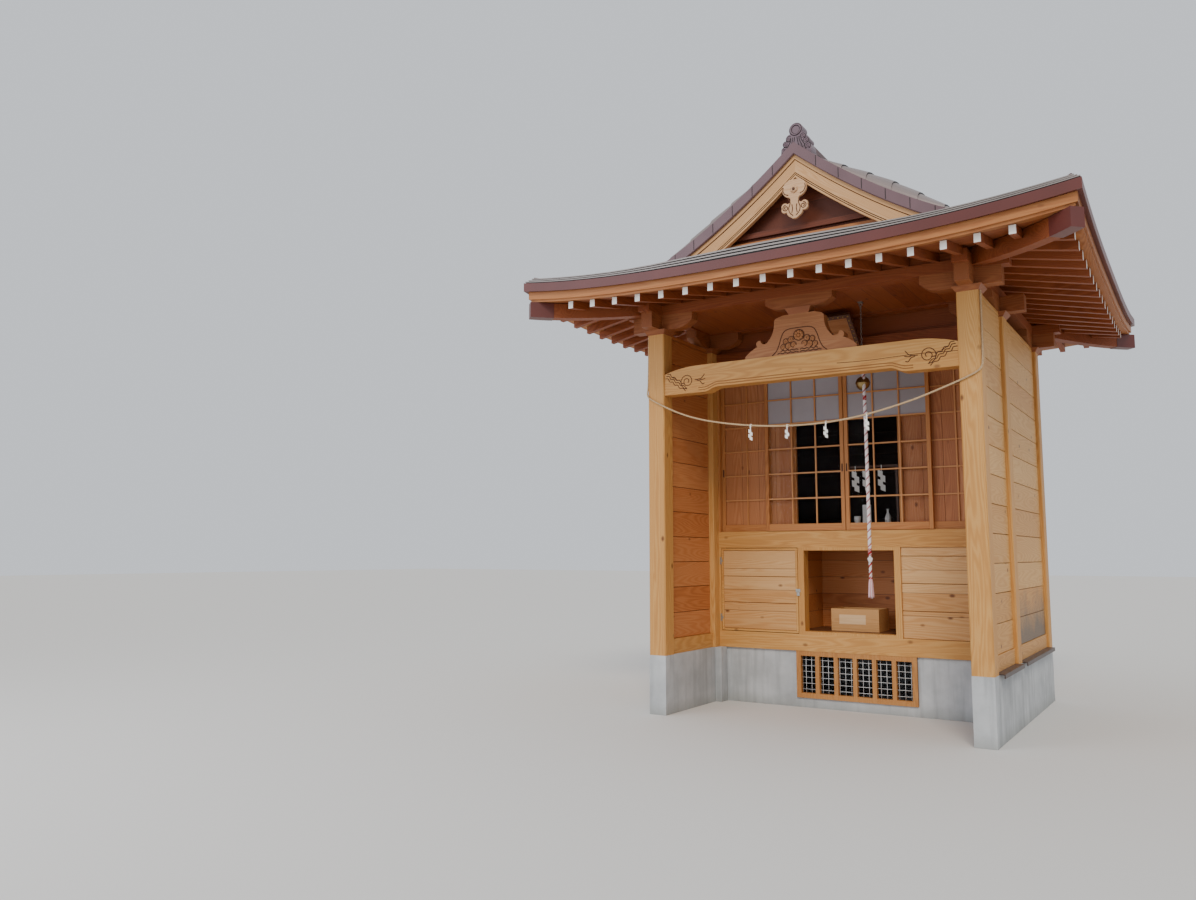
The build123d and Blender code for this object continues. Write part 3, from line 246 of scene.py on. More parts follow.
# Bargeboards of chosen stock: pale, with long straight grain down the slope
cedar_barge = {1: timber("cedar_bargeboard_right", "falling", PALE, knots=0.4),
               -1: timber("cedar_bargeboard_left", "rising", PALE, knots=0.4)}
# Joiner's lattice: fine grain, orange-brown stiles and rails, lighter bars between them, the bars' tone a
# painted highlight
cedar_door_upright = timber("cedar_lattice_stiles", "z", LATTICE, knots=0.1)
cedar_door_cross = timber("cedar_lattice_rails", "x", LATTICE, knots=0.1)
cedar_muntin_upright = timber("cedar_muntins_upright", "z", MUNTIN_HIGHLIGHT, knots=0.0)
cedar_muntin_cross = timber("cedar_muntins_cross", "x", MUNTIN_HIGHLIGHT, knots=0.0)
# Backing of the outer doors: upright boards, a shade darker than the painted highlight of the bars before
# them
cedar_door_backing = timber("cedar_door_backing_boards", "z", ("8E5230", "AC6C40", "C28658"), board=0.150,
                            across="x", lines=False)
# Frog-leg strut: reddish, with the shade under the eave painted into it, between the dark eave and the honey
# beam
cedar_strut = timber("cedar_strut_oiled", "x", ("85502C", "A66C40", "BC8858"), knots=0.3)
# Planed box of new boards: even and matt
cedar_boxwood = timber("cedar_offering_box", "x", ("A9763F", "C4925A", "D3A66F"), knots=0.2)
# Bars before the vent: honey, a little browner than the sill
cedar_grille = timber("cedar_vent_grille", "z", ("99622F", "B87F45", "C9945A"), knots=0.2)
# Carved pendant left without oil: the palest wood, quite matt
cedar_carved = timber("cedar_carved_pale", "x", ("B98A62", "D8AF86", "E6C6A2"), knots=0.2, sheen=0.6)
# Thin plate of fresh wood: a pale patch on the box
cedar_label = timber("cedar_label_plate", "x", ("C9A274", "DCB98C", "E8CBA2"), knots=0.1)


# Other finishes
def plain(name, code, roughness, metallic=0.0, patch=0.12, patch_size=333.3, grain_size=16.667, depth=0.0003):
    """An even coat whose tone wanders a little, over a fine unevenness; both sizes in millimetres."""
    material, tree, shader, place = new_material(name)
    wander = add(tree, "ShaderNodeTexNoise", {"Vector": place, "Scale": per_metre(patch_size), "Detail": 4.0})
    dark = [c * (1 - 2 * patch) for c in linear(code)[:3]] + [1.0]
    light = [min(1.0, c * (1 + 2 * patch)) for c in linear(code)[:3]] + [1.0]
    colour = add(tree, "ShaderNodeMix", {0: wander, 6: dark, 7: light}, data_type="RGBA").outputs[2]
    fine = add(tree, "ShaderNodeTexNoise", {"Vector": place, "Scale": per_metre(grain_size), "Detail": 2.0})
    uneven = add(tree, "ShaderNodeBump", {"Height": fine, "Distance": depth, "Strength": 0.4})
    feed(shader, {"Base Color": colour, "Roughness": roughness, "Metallic": metallic, "Normal": uneven})
    return material


# Roofing steel with a baked coat: grey-brown, softly shining, faded in broad clouds
roof_sheet = plain("coated_steel_roofing", "8C7F7C", 0.42, metallic=0.35, patch=0.10, patch_size=714.3,
                   depth=0.0006)
# Folded trim round the eaves: deep maroon with a satin sheen
maroon_sheet = plain("coated_steel_trim_maroon", "5E2B25", 0.42, patch=0.16, patch_size=384.6)
# Ridge and hips: a dull purple-brown
ridge_sheet = plain("coated_steel_ridge", "5B3B3A", 0.45, patch=0.14)
# Verge caps and ornaments: paler mauve, bleached unevenly
cap_sheet = plain("coated_steel_verge_mauve", "6F555A", 0.42, patch=0.14, patch_size=250)
ornament_sheet = plain("coated_steel_ornament", "735F68", 0.42, patch=0.16, patch_size=111.1)
# Folded noses of the eave layers: a light grey line, a painted highlight
highlight_sheet = plain("coated_steel_fold_painted_highlight", "928A86", 0.42, metallic=0.2, patch=0.12, patch_size=500)
# Butts and gaps between sheets: matt and almost black, painted shade
shade_sheet = plain("coated_steel_painted_shade", "1A1515", 0.7)
# Flashing over the concrete: a dark brown strip
dark_sheet = plain("coated_steel_flashing", "4A3C38", 0.45, patch=0.16)
# Zinc plate on hinges and chain: light grey metal in small spangles
zinc = plain("zinc_plated_steel", "A9A7A0", 0.42, metallic=0.85, patch=0.12, patch_size=33.33)
# Cast brass dulled by hands and rain: olive gold with soft highlights
brass = plain("brass_dulled", "9A8458", 0.36, metallic=0.9, patch=0.16, patch_size=45.45)
# Turned brass kept bright: small clear highlights
padlock_brass = plain("brass_padlock", "B79A5A", 0.34, metallic=0.85, patch=0.08, patch_size=25)
# Brushed paint on end grain: flat warm white
white_paint = plain("white_end_grain_paint", "F1EFE8", 0.6, patch=0.03)
# Handmade paper: the brightest white, without any shine
paper = plain("washi_paper", "F4F1EA", 0.8, patch=0.03, patch_size=71.43, depth=0.0002)
# Glazed porcelain: white with sharp, small reflections
porcelain = plain("white_porcelain", "F2F0EA", 0.18, patch=0.02)
# Welded wire dipped in white: thin pale lines before the dark vent
wire_mesh = plain("coated_mesh_white", "DDE0E2", 0.45, patch=0.05)
# Cuts of the carving knife and of the plane: the brown of shade, deep or light
shadow_groove = plain("carved_groove_shadow", "54301A", 0.85, patch=0.10)
planed_groove = plain("planed_groove_shaded", "94622F", 0.8, patch=0.10)
# Stained cedar: chocolate brown with a slight sheen
dark_stain = plain("stained_cedar_dark", "5A3826", 0.5, patch=0.16, patch_size=125)
# Unlit hollows: black to the eye
unlit_dark = plain("cellar_dark", "14110F", 0.9)
# Spun cotton: matt, and fuzzy at the edge of a yarn; the oldest strand has faded to rose
red_cotton = plain("cotton_yarn_red", "A8232B", 0.85, patch=0.06, patch_size=16.67, grain_size=1.111)
faded_cotton = plain("cotton_yarn_faded_red", "AC5A62", 0.88, patch=0.12, patch_size=50, grain_size=1.111)
white_cotton = plain("cotton_yarn_white", "E4DDDD", 0.85, patch=0.05, patch_size=16.67, grain_size=1.111)
pink_cotton = plain("cotton_yarn_pink", "D8A0A4", 0.88, patch=0.06, patch_size=16.67, grain_size=1.111)
# Laid rice straw: dry buff, flecked from stalk to stalk
straw = plain("rice_straw", "C2A680", 0.85, patch=0.22, patch_size=11.11, grain_size=2, depth=0.0008)


def concrete_material():
    """Fair-faced concrete: cool grey, rain streaks down it, a damp foot and small air holes."""
    material, tree, shader, place = new_material("fair_faced_concrete")
    cloud = add(tree, "ShaderNodeTexNoise", {"Vector": place, "Scale": per_metre(384.6), "Detail": 6.0,
                                             "Roughness": 0.6})
    colour = add(tree, "ShaderNodeValToRGB", {"Fac": cloud},
                 ((0.25, "999C9E"), (0.5, "B3B6B8"), (0.78, "CCCFD1")))
    # streaks 15 to 60 mm wide that run down the face
    drawn = add(tree, "ShaderNodeMapping", {"Vector": place, "Scale": (1.0, 1.0, 0.07)})
    streak = add(tree, "ShaderNodeTexNoise", {"Vector": drawn, "Scale": per_metre(58.82), "Detail": 4.0})
    run = add(tree, "ShaderNodeMapRange", {"Value": streak, "From Min": 0.5, "From Max": 0.72,
                                           "To Min": 0.0, "To Max": 0.5})
    streaked = add(tree, "ShaderNodeMix", {0: run, 6: colour, 7: linear("85888A")}, data_type="RGBA")
    axes = add(tree, "ShaderNodeSeparateXYZ", {0: place})
    damp = add(tree, "ShaderNodeMapRange", {"Value": axes.outputs["Z"], "From Min": 0.0, "From Max": 0.10,
                                            "To Min": 0.45, "To Max": 0.0})
    damped = add(tree, "ShaderNodeMix", {0: damp, 6: streaked.outputs[2], 7: linear("77786F")},
                 data_type="RGBA")
    # air holes 3 to 6 mm across, one in some 26 mm; sand drawn 4.5 mm wide, or it wouldn't show
    pits = add(tree, "ShaderNodeTexVoronoi", {"Vector": place, "Scale": per_metre(26.32), "Randomness": 1.0})
    pit = add(tree, "ShaderNodeMapRange", {"Value": pits, "From Min": 0.05, "From Max": 0.12,
                                           "To Min": 0.0, "To Max": 1.0})
    grit = add(tree, "ShaderNodeTexNoise", {"Vector": place, "Scale": per_metre(4.545), "Detail": 3.0})
    relief = add(tree, "ShaderNodeMath", {0: grit, 1: 0.4, 2: pit}, operation="MULTIPLY_ADD")
    rough = add(tree, "ShaderNodeBump", {"Height": relief, "Distance": 0.0018, "Strength": 0.5})
    feed(shader, {"Base Color": damped.outputs[2], "Roughness": 0.82, "Normal": rough})
    return material


def glass_material(name, code, roughness, alpha, mirror):
    """Window glass: a thin pane over a dark room; alpha is the share that it hides."""
    material, tree, shader, place = new_material(name)
    haze = add(tree, "ShaderNodeTexNoise", {"Vector": place, "Scale": per_metre(111.1), "Detail": 2.0})
    light = [min(1, c * 1.15) for c in linear(code)[:3]] + [1]
    colour = add(tree, "ShaderNodeMix", {0: haze, 6: linear(code), 7: light}, data_type="RGBA").outputs[2]
    feed(shader, {"Base Color": colour, "Roughness": roughness, "Alpha": alpha, "Specular IOR Level": mirror})
    return material


concrete = concrete_material()
# Float glass: nearly nothing but a faint mirror
clear_glass = glass_material("float_glass_clear", "090A0C", 0.03, 0.06, 0.12)
# Etched glass: an even, milky lilac-grey
frosted_glass = glass_material("frosted_glass", "9C9699", 0.5, 0.94, 0.4)


# Mesh helpers: each gives an object that piece() joins with others and names
def linked(obj):
    bpy.context.collection.objects.link(obj)
    return obj


def removed(*objects):
    for obj in objects:
        bpy.data.objects.remove(obj)


def mesh_object(vertices, faces, material=None, smooth=False):
    mesh = bpy.data.meshes.new("part")
    mesh.from_pydata([tuple(v) for v in vertices], [], faces)
    mesh.validate()
    if material:
        mesh.materials.append(material)
    if smooth:
        mesh.shade_smooth()
    return linked(bpy.data.objects.new("part", mesh))


def baked(obj):
    """The object with its modifiers made into plain mesh."""
    graph = bpy.context.evaluated_depsgraph_get()
    mesh, old = bpy.data.meshes.new_from_object(obj.evaluated_get(graph)), obj.data
    obj.modifiers.clear()
    obj.data = mesh
    bpy.data.meshes.remove(old)
    return obj


def bevelled(obj, width, segments=1):
    modifier = obj.modifiers.new("arris", "BEVEL")
    modifier.width, modifier.segments = width, segments
    modifier.limit_method, modifier.angle_limit = "ANGLE", radians(40)
    return baked(obj)


def outward(obj):
    """The object with all its faces turned outwards."""
    whole = bmesh.new()
    whole.from_mesh(obj.data)
    bmesh.ops.recalc_face_normals(whole, faces=whole.faces)
    whole.to_mesh(obj.data)
    whole.free()
    return obj


def joined(parts):
    """Several mesh objects as one, with their materials kept."""
    mesh, whole, materials = bpy.data.meshes.new("part"), bmesh.new(), []
    for part in parts:
        start, offset = len(whole.faces), len(materials)
        whole.from_mesh(part.data)
        whole.faces.ensure_lookup_table()
        for face in whole.faces[start:]:
            face.material_index += offset
        materials += list(part.data.materials) or [None]
    whole.to_mesh(mesh)
    whole.free()
    for material in materials:
        mesh.materials.append(material)
    removed(*parts)
    return linked(bpy.data.objects.new("part", mesh))


def with_rear(parts):
    """The parts as one, and their copy turned half round to the rear."""
    front = joined(parts)
    rear = front.copy()
    rear.data = front.data.copy()
    rear.data.transform(Matrix.Rotation(pi, 4, "Z"))
    return [front, linked(rear)]


def piece(name, parts, body="root", replaces=()):
    """Joins parts into a named piece that rides a body and may stand for solids."""
    obj = parts[0] if len(parts) == 1 else joined(parts)
    obj.name = obj.data.name = name
    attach(obj, body)
    if replaces:
        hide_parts(*replaces)
    return obj


def span(name):
    """Lowest and highest corner of a CAD node, as spans along X, Y and Z."""
    return tuple(zip(*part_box(name)))


def boxes(spans, material=None, arris=0.0):
    """Squared pieces between pairs of coordinates, as one mesh, their arrises taken off."""
    vertices, faces = [], []
    for (x0, x1), (y0, y1), (z0, z1) in spans:
        start = len(vertices)
        vertices += [(x, y, z) for z in (z0, z1) for x, y in ((x0, y0), (x1, y0), (x1, y1), (x0, y1))]
        faces += [[start + i for i in face] for face in
                  ((0, 3, 2, 1), (4, 5, 6, 7), (0, 1, 5, 4), (1, 2, 6, 5), (2, 3, 7, 6), (3, 0, 4, 7))]
    obj = mesh_object(vertices, faces, material)
    return bevelled(obj, arris) if arris else obj


def skin_faces(rows, sides):
    """Faces of a closed skin over rows of points that each run once round."""
    faces = []
    for row in range(rows - 1):
        for k in range(sides):
            a, b = row * sides + k, row * sides + (k + 1) % sides
            faces.append((a, b, b + sides, a + sides))
    return faces + [tuple(reversed(range(sides))), tuple(range((rows - 1) * sides, rows * sides))]


def tube(points, radius, material=None, sides=6):
    """A round tube that follows points, its frame carried along without twist."""
    points = [Vector(p) for p in points]
    count = len(points)
    tangents = [(points[min(i + 1, count - 1)] - points[max(i - 1, 0)]).normalized() for i in range(count)]
    side = tangents[0].orthogonal().normalized()
    vertices = []
    for point, tangent in zip(points, tangents):
        side = (side - tangent * side.dot(tangent)).normalized()
        other = tangent.cross(side)
        vertices += [point + (side * cos(a) + other * sin(a)) * radius
                     for a in (2 * pi * k / sides for k in range(sides))]
    return mesh_object(vertices, skin_faces(count, sides), material, smooth=True)


def turned_body(profile, centre, material, sides=16, axis="z"):
    """A body of revolution; profile holds radius and height pairs from its foot to its head."""
    vertices = []
    for radius, height in profile:
        for k in range(sides):
            a = 2 * pi * k / sides
            flat = (radius * cos(a), radius * sin(a))
            spot = (flat[0], flat[1], height) if axis == "z" else (flat[0], -height, flat[1])
            vertices.append(tuple(c + s for c, s in zip(centre, spot)))
    return mesh_object(vertices, skin_faces(len(profile), sides), material, smooth=True)


def shell(top, bottom, material, wall_material=None):
    """A closed skin between two grids of points with the same rows and columns."""
    rows, columns = len(top), len(top[0])
    count = rows * columns
    faces = []
    for a in (r * columns + c for r in range(rows - 1) for c in range(columns - 1)):
        quad = (a, a + 1, a + columns + 1, a + columns)
        faces += [quad, tuple(count + i for i in reversed(quad))]
    covers = len(faces)
    rim = list(range(columns)) + [r * columns + columns - 1 for r in range(1, rows)]
    rim += [(rows - 1) * columns + c for c in range(columns - 2, -1, -1)]
    rim += [r * columns for r in range(rows - 2, 0, -1)]
    faces += [(b, a, count + a, count + b) for a, b in zip(rim, rim[1:] + rim[:1])]
    obj = mesh_object([p for grid in (top, bottom) for row in grid for p in row], faces, material)
    if wall_material:
        obj.data.materials.append(wall_material)
        for face in obj.data.polygons[covers:]:
            face.material_index = 1
    return obj


def plate(outline, y_span, material, arris=0.0):
    """A flat piece with an outline in the XZ plane, between two places along Y."""
    count = len(outline)
    vertices = [(x, y, z) for y in y_span for x, z in outline]
    faces = [tuple(range(count)), tuple(range(2 * count - 1, count - 1, -1))]
    faces += [((i + 1) % count, i, i + count, (i + 1) % count + count) for i in range(count)]
    obj = outward(mesh_object(vertices, faces, material))
    return bevelled(obj, arris, 2) if arris else obj


# Lines of carving and outlines, as pairs of X and Z or as points
def arc_through(start, through, end, steps=7):
    """Points on the circle through three points, without the first."""
    (ax, az), (bx, bz), (cx, cz) = start, through, end
    d = 2 * (ax * (bz - cz) + bx * (cz - az) + cx * (az - bz))
    sa, sb, sc = ax * ax + az * az, bx * bx + bz * bz, cx * cx + cz * cz
    ux = (sa * (bz - cz) + sb * (cz - az) + sc * (az - bz)) / d
    uz = (sa * (cx - bx) + sb * (ax - cx) + sc * (bx - ax)) / d
    radius = sqrt((ax - ux) ** 2 + (az - uz) ** 2)
    first, middle, last = (atan2(z - uz, x - ux) for x, z in (start, through, end))
    sweep = (last - first) % (2 * pi)
    if (middle - first) % (2 * pi) > sweep:
        sweep -= 2 * pi
    return [(ux + radius * cos(first + sweep * k / steps), uz + radius * sin(first + sweep * k / steps))
            for k in range(1, steps + 1)]


def through_arcs(start, arcs):
    """An outline of arcs, each given by a point on it and its end."""
    line = [start]
    for through, end in arcs:
        line += arc_through(start, through, end)
        start = end
    return line


def mirrored(half):
    """A closed outline from its right half, which starts and ends on the middle line."""
    return half + [(-x, z) for x, z in reversed(half) if abs(x) > 1e-6]


def on_front(shape, y, foot, hand=1):
    """Points of a flat shape on a face that looks to the front; hand -1 is its mirror image."""
    return [(hand * x, y, foot + z) for x, z in shape]


def spiral(centre, y, wide, narrow, turns, start=0.0, hand=1, steps=14):
    """Points of a scroll that winds inwards, seen from the front."""
    count = int(turns * steps)
    points = []
    for k in range(count + 1):
        angle = start + hand * 2 * pi * turns * k / count
        radius = wide + (narrow - wide) * k / count
        points.append((centre[0] + radius * cos(angle), y, centre[1] + radius * sin(angle)))
    return points


def flowing(points, steps=5):
    """A smooth line through the points."""
    points = [Vector(p) for p in points]
    ends = [points[0] * 2 - points[1]] + points + [points[-1] * 2 - points[-2]]
    line = []
    for a, b, c, d in zip(ends, ends[1:], ends[2:], ends[3:]):
        for t in (k / steps for k in range(steps)):
            line.append(0.5 * ((2 * b) + (c - a) * t + (2 * a - 5 * b + 4 * c - d) * t * t
                               + (3 * b - a - 3 * c + d) * t ** 3))
    return line + [points[-1]]


def petals(count, y, z, reach, profile, material, sides, start=0.0):
    """Domed petals round a point on the middle line of a front face."""
    return [turned_body(profile, (reach * cos(a), y, z + reach * sin(a)), material, sides, "y")
            for a in (start + 2 * pi * k / count for k in range(count))]


# Repeats, by geometry nodes
def stamp_tree():
    """A small object at every vertex, turned further at each one."""
    tree = bpy.data.node_groups.new("stamp_on_points", "GeometryNodeTree")
    sockets = (("Geometry", "NodeSocketGeometry"), ("Stamp", "NodeSocketObject"),
               ("Size", "NodeSocketVector"), ("Turn", "NodeSocketVector"), ("Finish", "NodeSocketMaterial"))
    for name, kind in sockets:
        tree.interface.new_socket(name, in_out="INPUT", socket_type=kind)
    tree.interface.new_socket("Geometry", in_out="OUTPUT", socket_type="NodeSocketGeometry")
    given = add(tree, "NodeGroupInput").outputs
    stamp = add(tree, "GeometryNodeObjectInfo", {"Object": given["Stamp"], "As Instance": True})
    index = add(tree, "GeometryNodeInputIndex")
    angle = add(tree, "ShaderNodeVectorMath", {0: given["Turn"], "Scale": index}, operation="SCALE")
    turn = add(tree, "FunctionNodeEulerToRotation", {0: angle})
    placed = add(tree, "GeometryNodeInstanceOnPoints", {
        "Points": given["Geometry"], "Instance": stamp.outputs["Geometry"], "Rotation": turn,
        "Scale": given["Size"]})
    real = add(tree, "GeometryNodeRealizeInstances", {0: placed})
    dressed = add(tree, "GeometryNodeSetMaterial", {"Geometry": real, "Material": given["Finish"]})
    add(tree, "NodeGroupOutput", {0: dressed})
    return tree


STAMPS = stamp_tree()


def stamped(points, stamp, material, turn=(0.0, 0.0, 0.0)):
    """Copies of the stamp at the points, as one mesh; the stamp is used up."""
    obj = mesh_object(points, [])
    modifier = obj.modifiers.new("stamps", "NODES")
    modifier.node_group = STAMPS
    keys = {item.name: item.identifier for item in STAMPS.interface.items_tree if item.in_out == "INPUT"}
    for key, value in (("Stamp", stamp), ("Size", (1.0, 1.0, 1.0)), ("Turn", turn), ("Finish", material)):
        modifier[keys[key]] = value
    baked(obj)
    removed(stamp)
    return obj


def link_ring(radius, stretch, wire, material=None, around=14, sides=6):
    """One link of chain, long in Z and flat in X."""
    vertices, faces = [], []
    for k in range(around):
        a = 2 * pi * k / around
        out = Vector((0, radius * cos(a), radius * sin(a))).normalized()
        for b in (2 * pi * j / sides for j in range(sides)):
            vertices.append(Vector((0.0, radius * cos(a), radius * stretch * sin(a))) + out * wire * cos(b)
                            + Vector((1, 0, 0)) * wire * sin(b))
    for k in range(around):
        for j in range(sides):
            after, ahead = (j + 1) % sides, (k + 1) % around * sides
            faces.append((k * sides + j, ahead + j, ahead + after, k * sides + after))
    return mesh_object(vertices, faces, material, smooth=True)


# Camera at the photograph's view
eye = linked(bpy.data.objects.new("photo_camera", bpy.data.cameras.new("photo_camera")))
eye.data.lens, eye.data.sensor_width = 28.77, 36.0
eye.location = (2.6385, -8.1863, 1.2784)
eye.rotation_euler = (pi / 2 + 0.1096, -0.0008, 0.5753)
bpy.context.scene.camera = eye


# Ropes
def route_points(points):
    """A rope's route: the points along a quadratic NURBS through its chosen ends."""
    data = bpy.data.curves.new("route", "CURVE")
    data.dimensions = "3D"
    spline = data.splines.new("NURBS")
    spline.points.add(len(points) - 1)
    for spot, point in zip(spline.points, points):
        spot.co = (*point, 1.0)
    spline.order_u = 3
    spline.use_endpoint_u = True
    spline.resolution_u = 24
    holder = linked(bpy.data.objects.new("route", data))
    graph = bpy.context.evaluated_depsgraph_get()
    line = bpy.data.meshes.new_from_object(holder.evaluated_get(graph))
    found = [v.co.copy() for v in line.vertices]
    bpy.data.meshes.remove(line)
    removed(holder)
    bpy.data.curves.remove(data)
    return found


def resampled(points, spacing):
    """The same route with its points evenly apart."""
    lengths = [0.0]
    for a, b in zip(points, points[1:]):
        lengths.append(lengths[-1] + (b - a).length)
    count = max(2, round(lengths[-1] / spacing))
    out, at = [], 0
    for k in range(count + 1):
        want = lengths[-1] * k / count
        while at < len(points) - 2 and lengths[at + 1] < want:
            at += 1
        share = (want - lengths[at]) / max(1e-9, lengths[at + 1] - lengths[at])
        out.append(points[at].lerp(points[at + 1], share))
    return out


def strand(route, offset, radius, pitch, phase, material, sides=6):
    """One strand of a laid rope: it winds round the route once in every pitch."""
    steps = resampled(route, pitch / 9)
    side = (steps[1] - steps[0]).orthogonal().normalized()
    points, run = [], 0.0
    for i, point in enumerate(steps):
        ahead = (steps[min(i + 1, len(steps) - 1)] - steps[max(i - 1, 0)]).normalized()
        side = (side - ahead * side.dot(ahead)).normalized()
        if i:
            run += (point - steps[i - 1]).length
        angle = 2 * pi * run / pitch + phase
        points.append(point + (side * cos(angle) + ahead.cross(side) * sin(angle)) * offset)
    return tube(points, radius, material, sides)


thirds = (0.0, 2 * pi / 3, 4 * pi / 3)
straw_diameter, straw_length, straw_lay = 0.015, 3.851, 0.052
straw_y, streamer_y, stem = -1.315, -1.3244, 0.0012  # of the sagging run and of what hangs on it
straw_route = route_points([
    (-1.333, -1.270, 3.121), (-1.334, -1.274, 2.692), (-1.335, -1.303, 2.617), (-1.300, -1.312, 2.572),
    (-0.950, -1.313, 2.394), (-0.520, -1.315, 2.300), (-0.060, -1.315, 2.256), (0.400, -1.315, 2.276),
    (0.820, -1.315, 2.367), (1.100, -1.312, 2.462), (1.300, -1.312, 2.537), (1.335, -1.303, 2.582),
    (1.334, -1.274, 2.667), (1.333, -1.270, 3.121)])
laid_straw = [strand(straw_route, straw_diameter * 0.26, straw_diameter * 0.25, straw_lay, phase, straw)
              for phase in thirds]
straw_rope = piece("straw_rope_laid", laid_straw, "root", ["straw_rope"])


def height_on(route, x):
    """Height of the straw rope's sagging run at a place across the porch."""
    return min((p for p in route if p.z < 2.56), key=lambda p: abs(p.x - x)).z


def zigzag(x, y, top, width, folds, fold_height):
    """A folded paper streamer: slanting strips, each hung from the lower corner of the one above."""
    sheet, slant, side_step = 0.0006, width * 0.45, width * 0.26
    strips = []
    for k in range(folds):
        z, front = top - fold_height * 0.72 * k, y - 2 * sheet * k
        middle = x + (side_step if k % 2 else -side_step)
        left, right = middle - width / 2, middle + width / 2
        corners = [(left, z), (right, z - slant), (right, z - slant - fold_height), (left, z - fold_height)]
        strips.append(plate(corners, (front, front + sheet), paper))
    return strips


streamers = []
for place, folds in ((-0.393, 4), (-0.091, 3), (0.214, 4), (0.524, 4)):
    knot_z = height_on(straw_route, place)
    parts = [tube(spiral((place, knot_z), straw_y, 0.0095, 0.0095, 1.0), 0.0025, paper),
             boxes([((place - 0.004, place + 0.004), (streamer_y + 0.0004, streamer_y + 0.0004 + stem),
                     (knot_z - 0.045, knot_z))], paper)]
    parts += zigzag(place, streamer_y, knot_z - 0.030, 0.022, folds, 0.026)
    streamers.append(piece(f"paper_streamer_{len(streamers) + 1}", parts, "root"))

# Bell rope: red and white cotton laid together, a red whipping, a knot, a plait and a tassel
rope_diameter, rope_length, rope_lay = 0.029, 1.802, 0.058
rope_ends = [(0.334, -0.768, 2.735), (0.361, -0.814, 2.668), (0.361, -0.814, 0.949)]
rope_route = resampled(route_points(rope_ends), 0.02)
rope_x, rope_y, rope_foot = rope_route[-1]
upper_band, lower_band = (2.535, 2.495), (1.333, 1.280)
knot_z, plait_foot = 1.243, 1.100
whipping_pitch, whipping_reach, whipping_radius = 0.0042, 0.0125, 0.0024
knot_reach, knot_wave, knot_radius, heart_radius = 0.011, 0.012, 0.0088, 0.009
plait_reach, plait_radius, plait_pitch, collar_radius = 0.0065, 0.0062, 0.060, 0.0118
laid = [p for p in rope_route if p.z > lower_band[1]] + [Vector((rope_x, rope_y, lower_band[1]))]
# each strand's yarn, and its radius as a share of the rope's diameter
strands = ((faded_cotton, 0.17), (white_cotton, 0.22), (white_cotton, 0.22), (white_cotton, 0.22))


def up_rope(reach, turn, z):
    """A point beside the straight part of the bell rope."""
    return rope_x + reach * cos(turn), rope_y + reach * sin(turn), z


parts = [strand(laid, rope_diameter * 0.28, rope_diameter * share, rope_lay, index * pi / 2, yarn, 8)
         for index, (yarn, share) in enumerate(strands)]
for top, foot in (upper_band, lower_band):
    coil, steps = [], 10 * int((top - foot) / whipping_pitch)
    for k in range(steps + 1):
        z, turn = top - (top - foot) * k / steps, 2 * pi * k / 10
        on_rope = min(rope_route, key=lambda p: abs(p.z - z))
        coil.append((on_rope.x + whipping_reach * cos(turn), on_rope.y + whipping_reach * sin(turn), z))
    parts.append(tube(coil, whipping_radius, red_cotton, 5))
knot = [up_rope(knot_reach, a, knot_z + knot_wave * sin(2 * a + 0.6))
        for a in (2 * pi * k / 24 for k in range(25))]
parts.append(tube(knot, knot_radius, white_cotton, 8))
parts.append(tube([(rope_x, rope_y, lower_band[1] + 0.01), (rope_x, rope_y, plait_foot)], heart_radius,
                  white_cotton, 8))
plait = [Vector((rope_x, rope_y, z)) for z in (knot_z - 0.008, knot_z - 0.05, plait_foot)]
for phase, yarn in zip(thirds, (white_cotton, red_cotton, white_cotton)):
    parts.append(strand(plait, plait_reach, plait_radius, plait_pitch, phase, yarn))
parts.append(tube([(rope_x, rope_y, plait_foot + 0.016), (rope_x, rope_y, plait_foot - 0.012)], collar_radius,
                  red_cotton, 12))
golden_turn, core_yarns, skirt_yarns, yarn_radius = 2.39996, 26, 24, 0.0026
for k in range(core_yarns):
    turn, reach = golden_turn * k, collar_radius * sqrt((k + 0.5) / core_yarns)
    foot_z = rope_foot + float(rng.uniform(0.0, 0.018))
    line = [up_rope(reach * 0.7, turn, plait_foot - 0.004), up_rope(reach * 1.02, turn, plait_foot - 0.05),
            up_rope(reach, turn, foot_z)]
    parts.append(tube(line, yarn_radius, pink_cotton if k % 3 else white_cotton, 5))
bell_rope = piece("bell_rope_laid", parts, "bell", ["bell_rope"])
parts = []
for k in range(skirt_yarns):
    turn, foot_z = 2 * pi * k / skirt_yarns, rope_foot + float(rng.uniform(0.004, 0.014))
    fall = ((0.0100, plait_foot - 0.004), (0.0150, plait_foot - 0.040), (0.0175, plait_foot - 0.090),
            (0.0205, foot_z))
    line = [up_rope(reach, turn, z) for reach, z in fall]
    parts.append(tube(flowing(line), yarn_radius, pink_cotton if k % 4 else white_cotton, 5))
tassel = piece("bell_rope_tassel", parts, "bell")


# Roof covering: courses of coated sheet, each with a dark butt of painted shade over the one below
eave_slope, slope_growth, corner_lift, lift_depth = 0.1975, 0.1594, 0.100, 1.400


def roof_top(inset, from_corner):
    """Height of the covering, from the distances behind the eave and from the corner."""
    near_corner = max(0.0, 1 - from_corner / eave_y) ** 3
    near_eave = max(0.0, 1 - inset / lift_depth) ** 2
    return eave_z + eave_slope * inset + slope_growth * inset ** 2 + corner_lift * near_corner * near_eave


swell_rise, swell_round, swell_margin = 0.125, 0.240, 0.130


def swell(inset, from_corner):
    """Rise of the main slopes between their verges, in a round that turns down to the gables."""
    along_slope = (inset - verge_inset) / (eave_x - swell_margin - verge_inset)
    behind_verge = min(1.0, (from_corner - verge_inset) / swell_round)
    if not 0 < along_slope < 1 or behind_verge <= 0:
        return 0.0
    return swell_rise * sin(pi * along_slope) * sqrt(1 - (1 - behind_verge) ** 2)


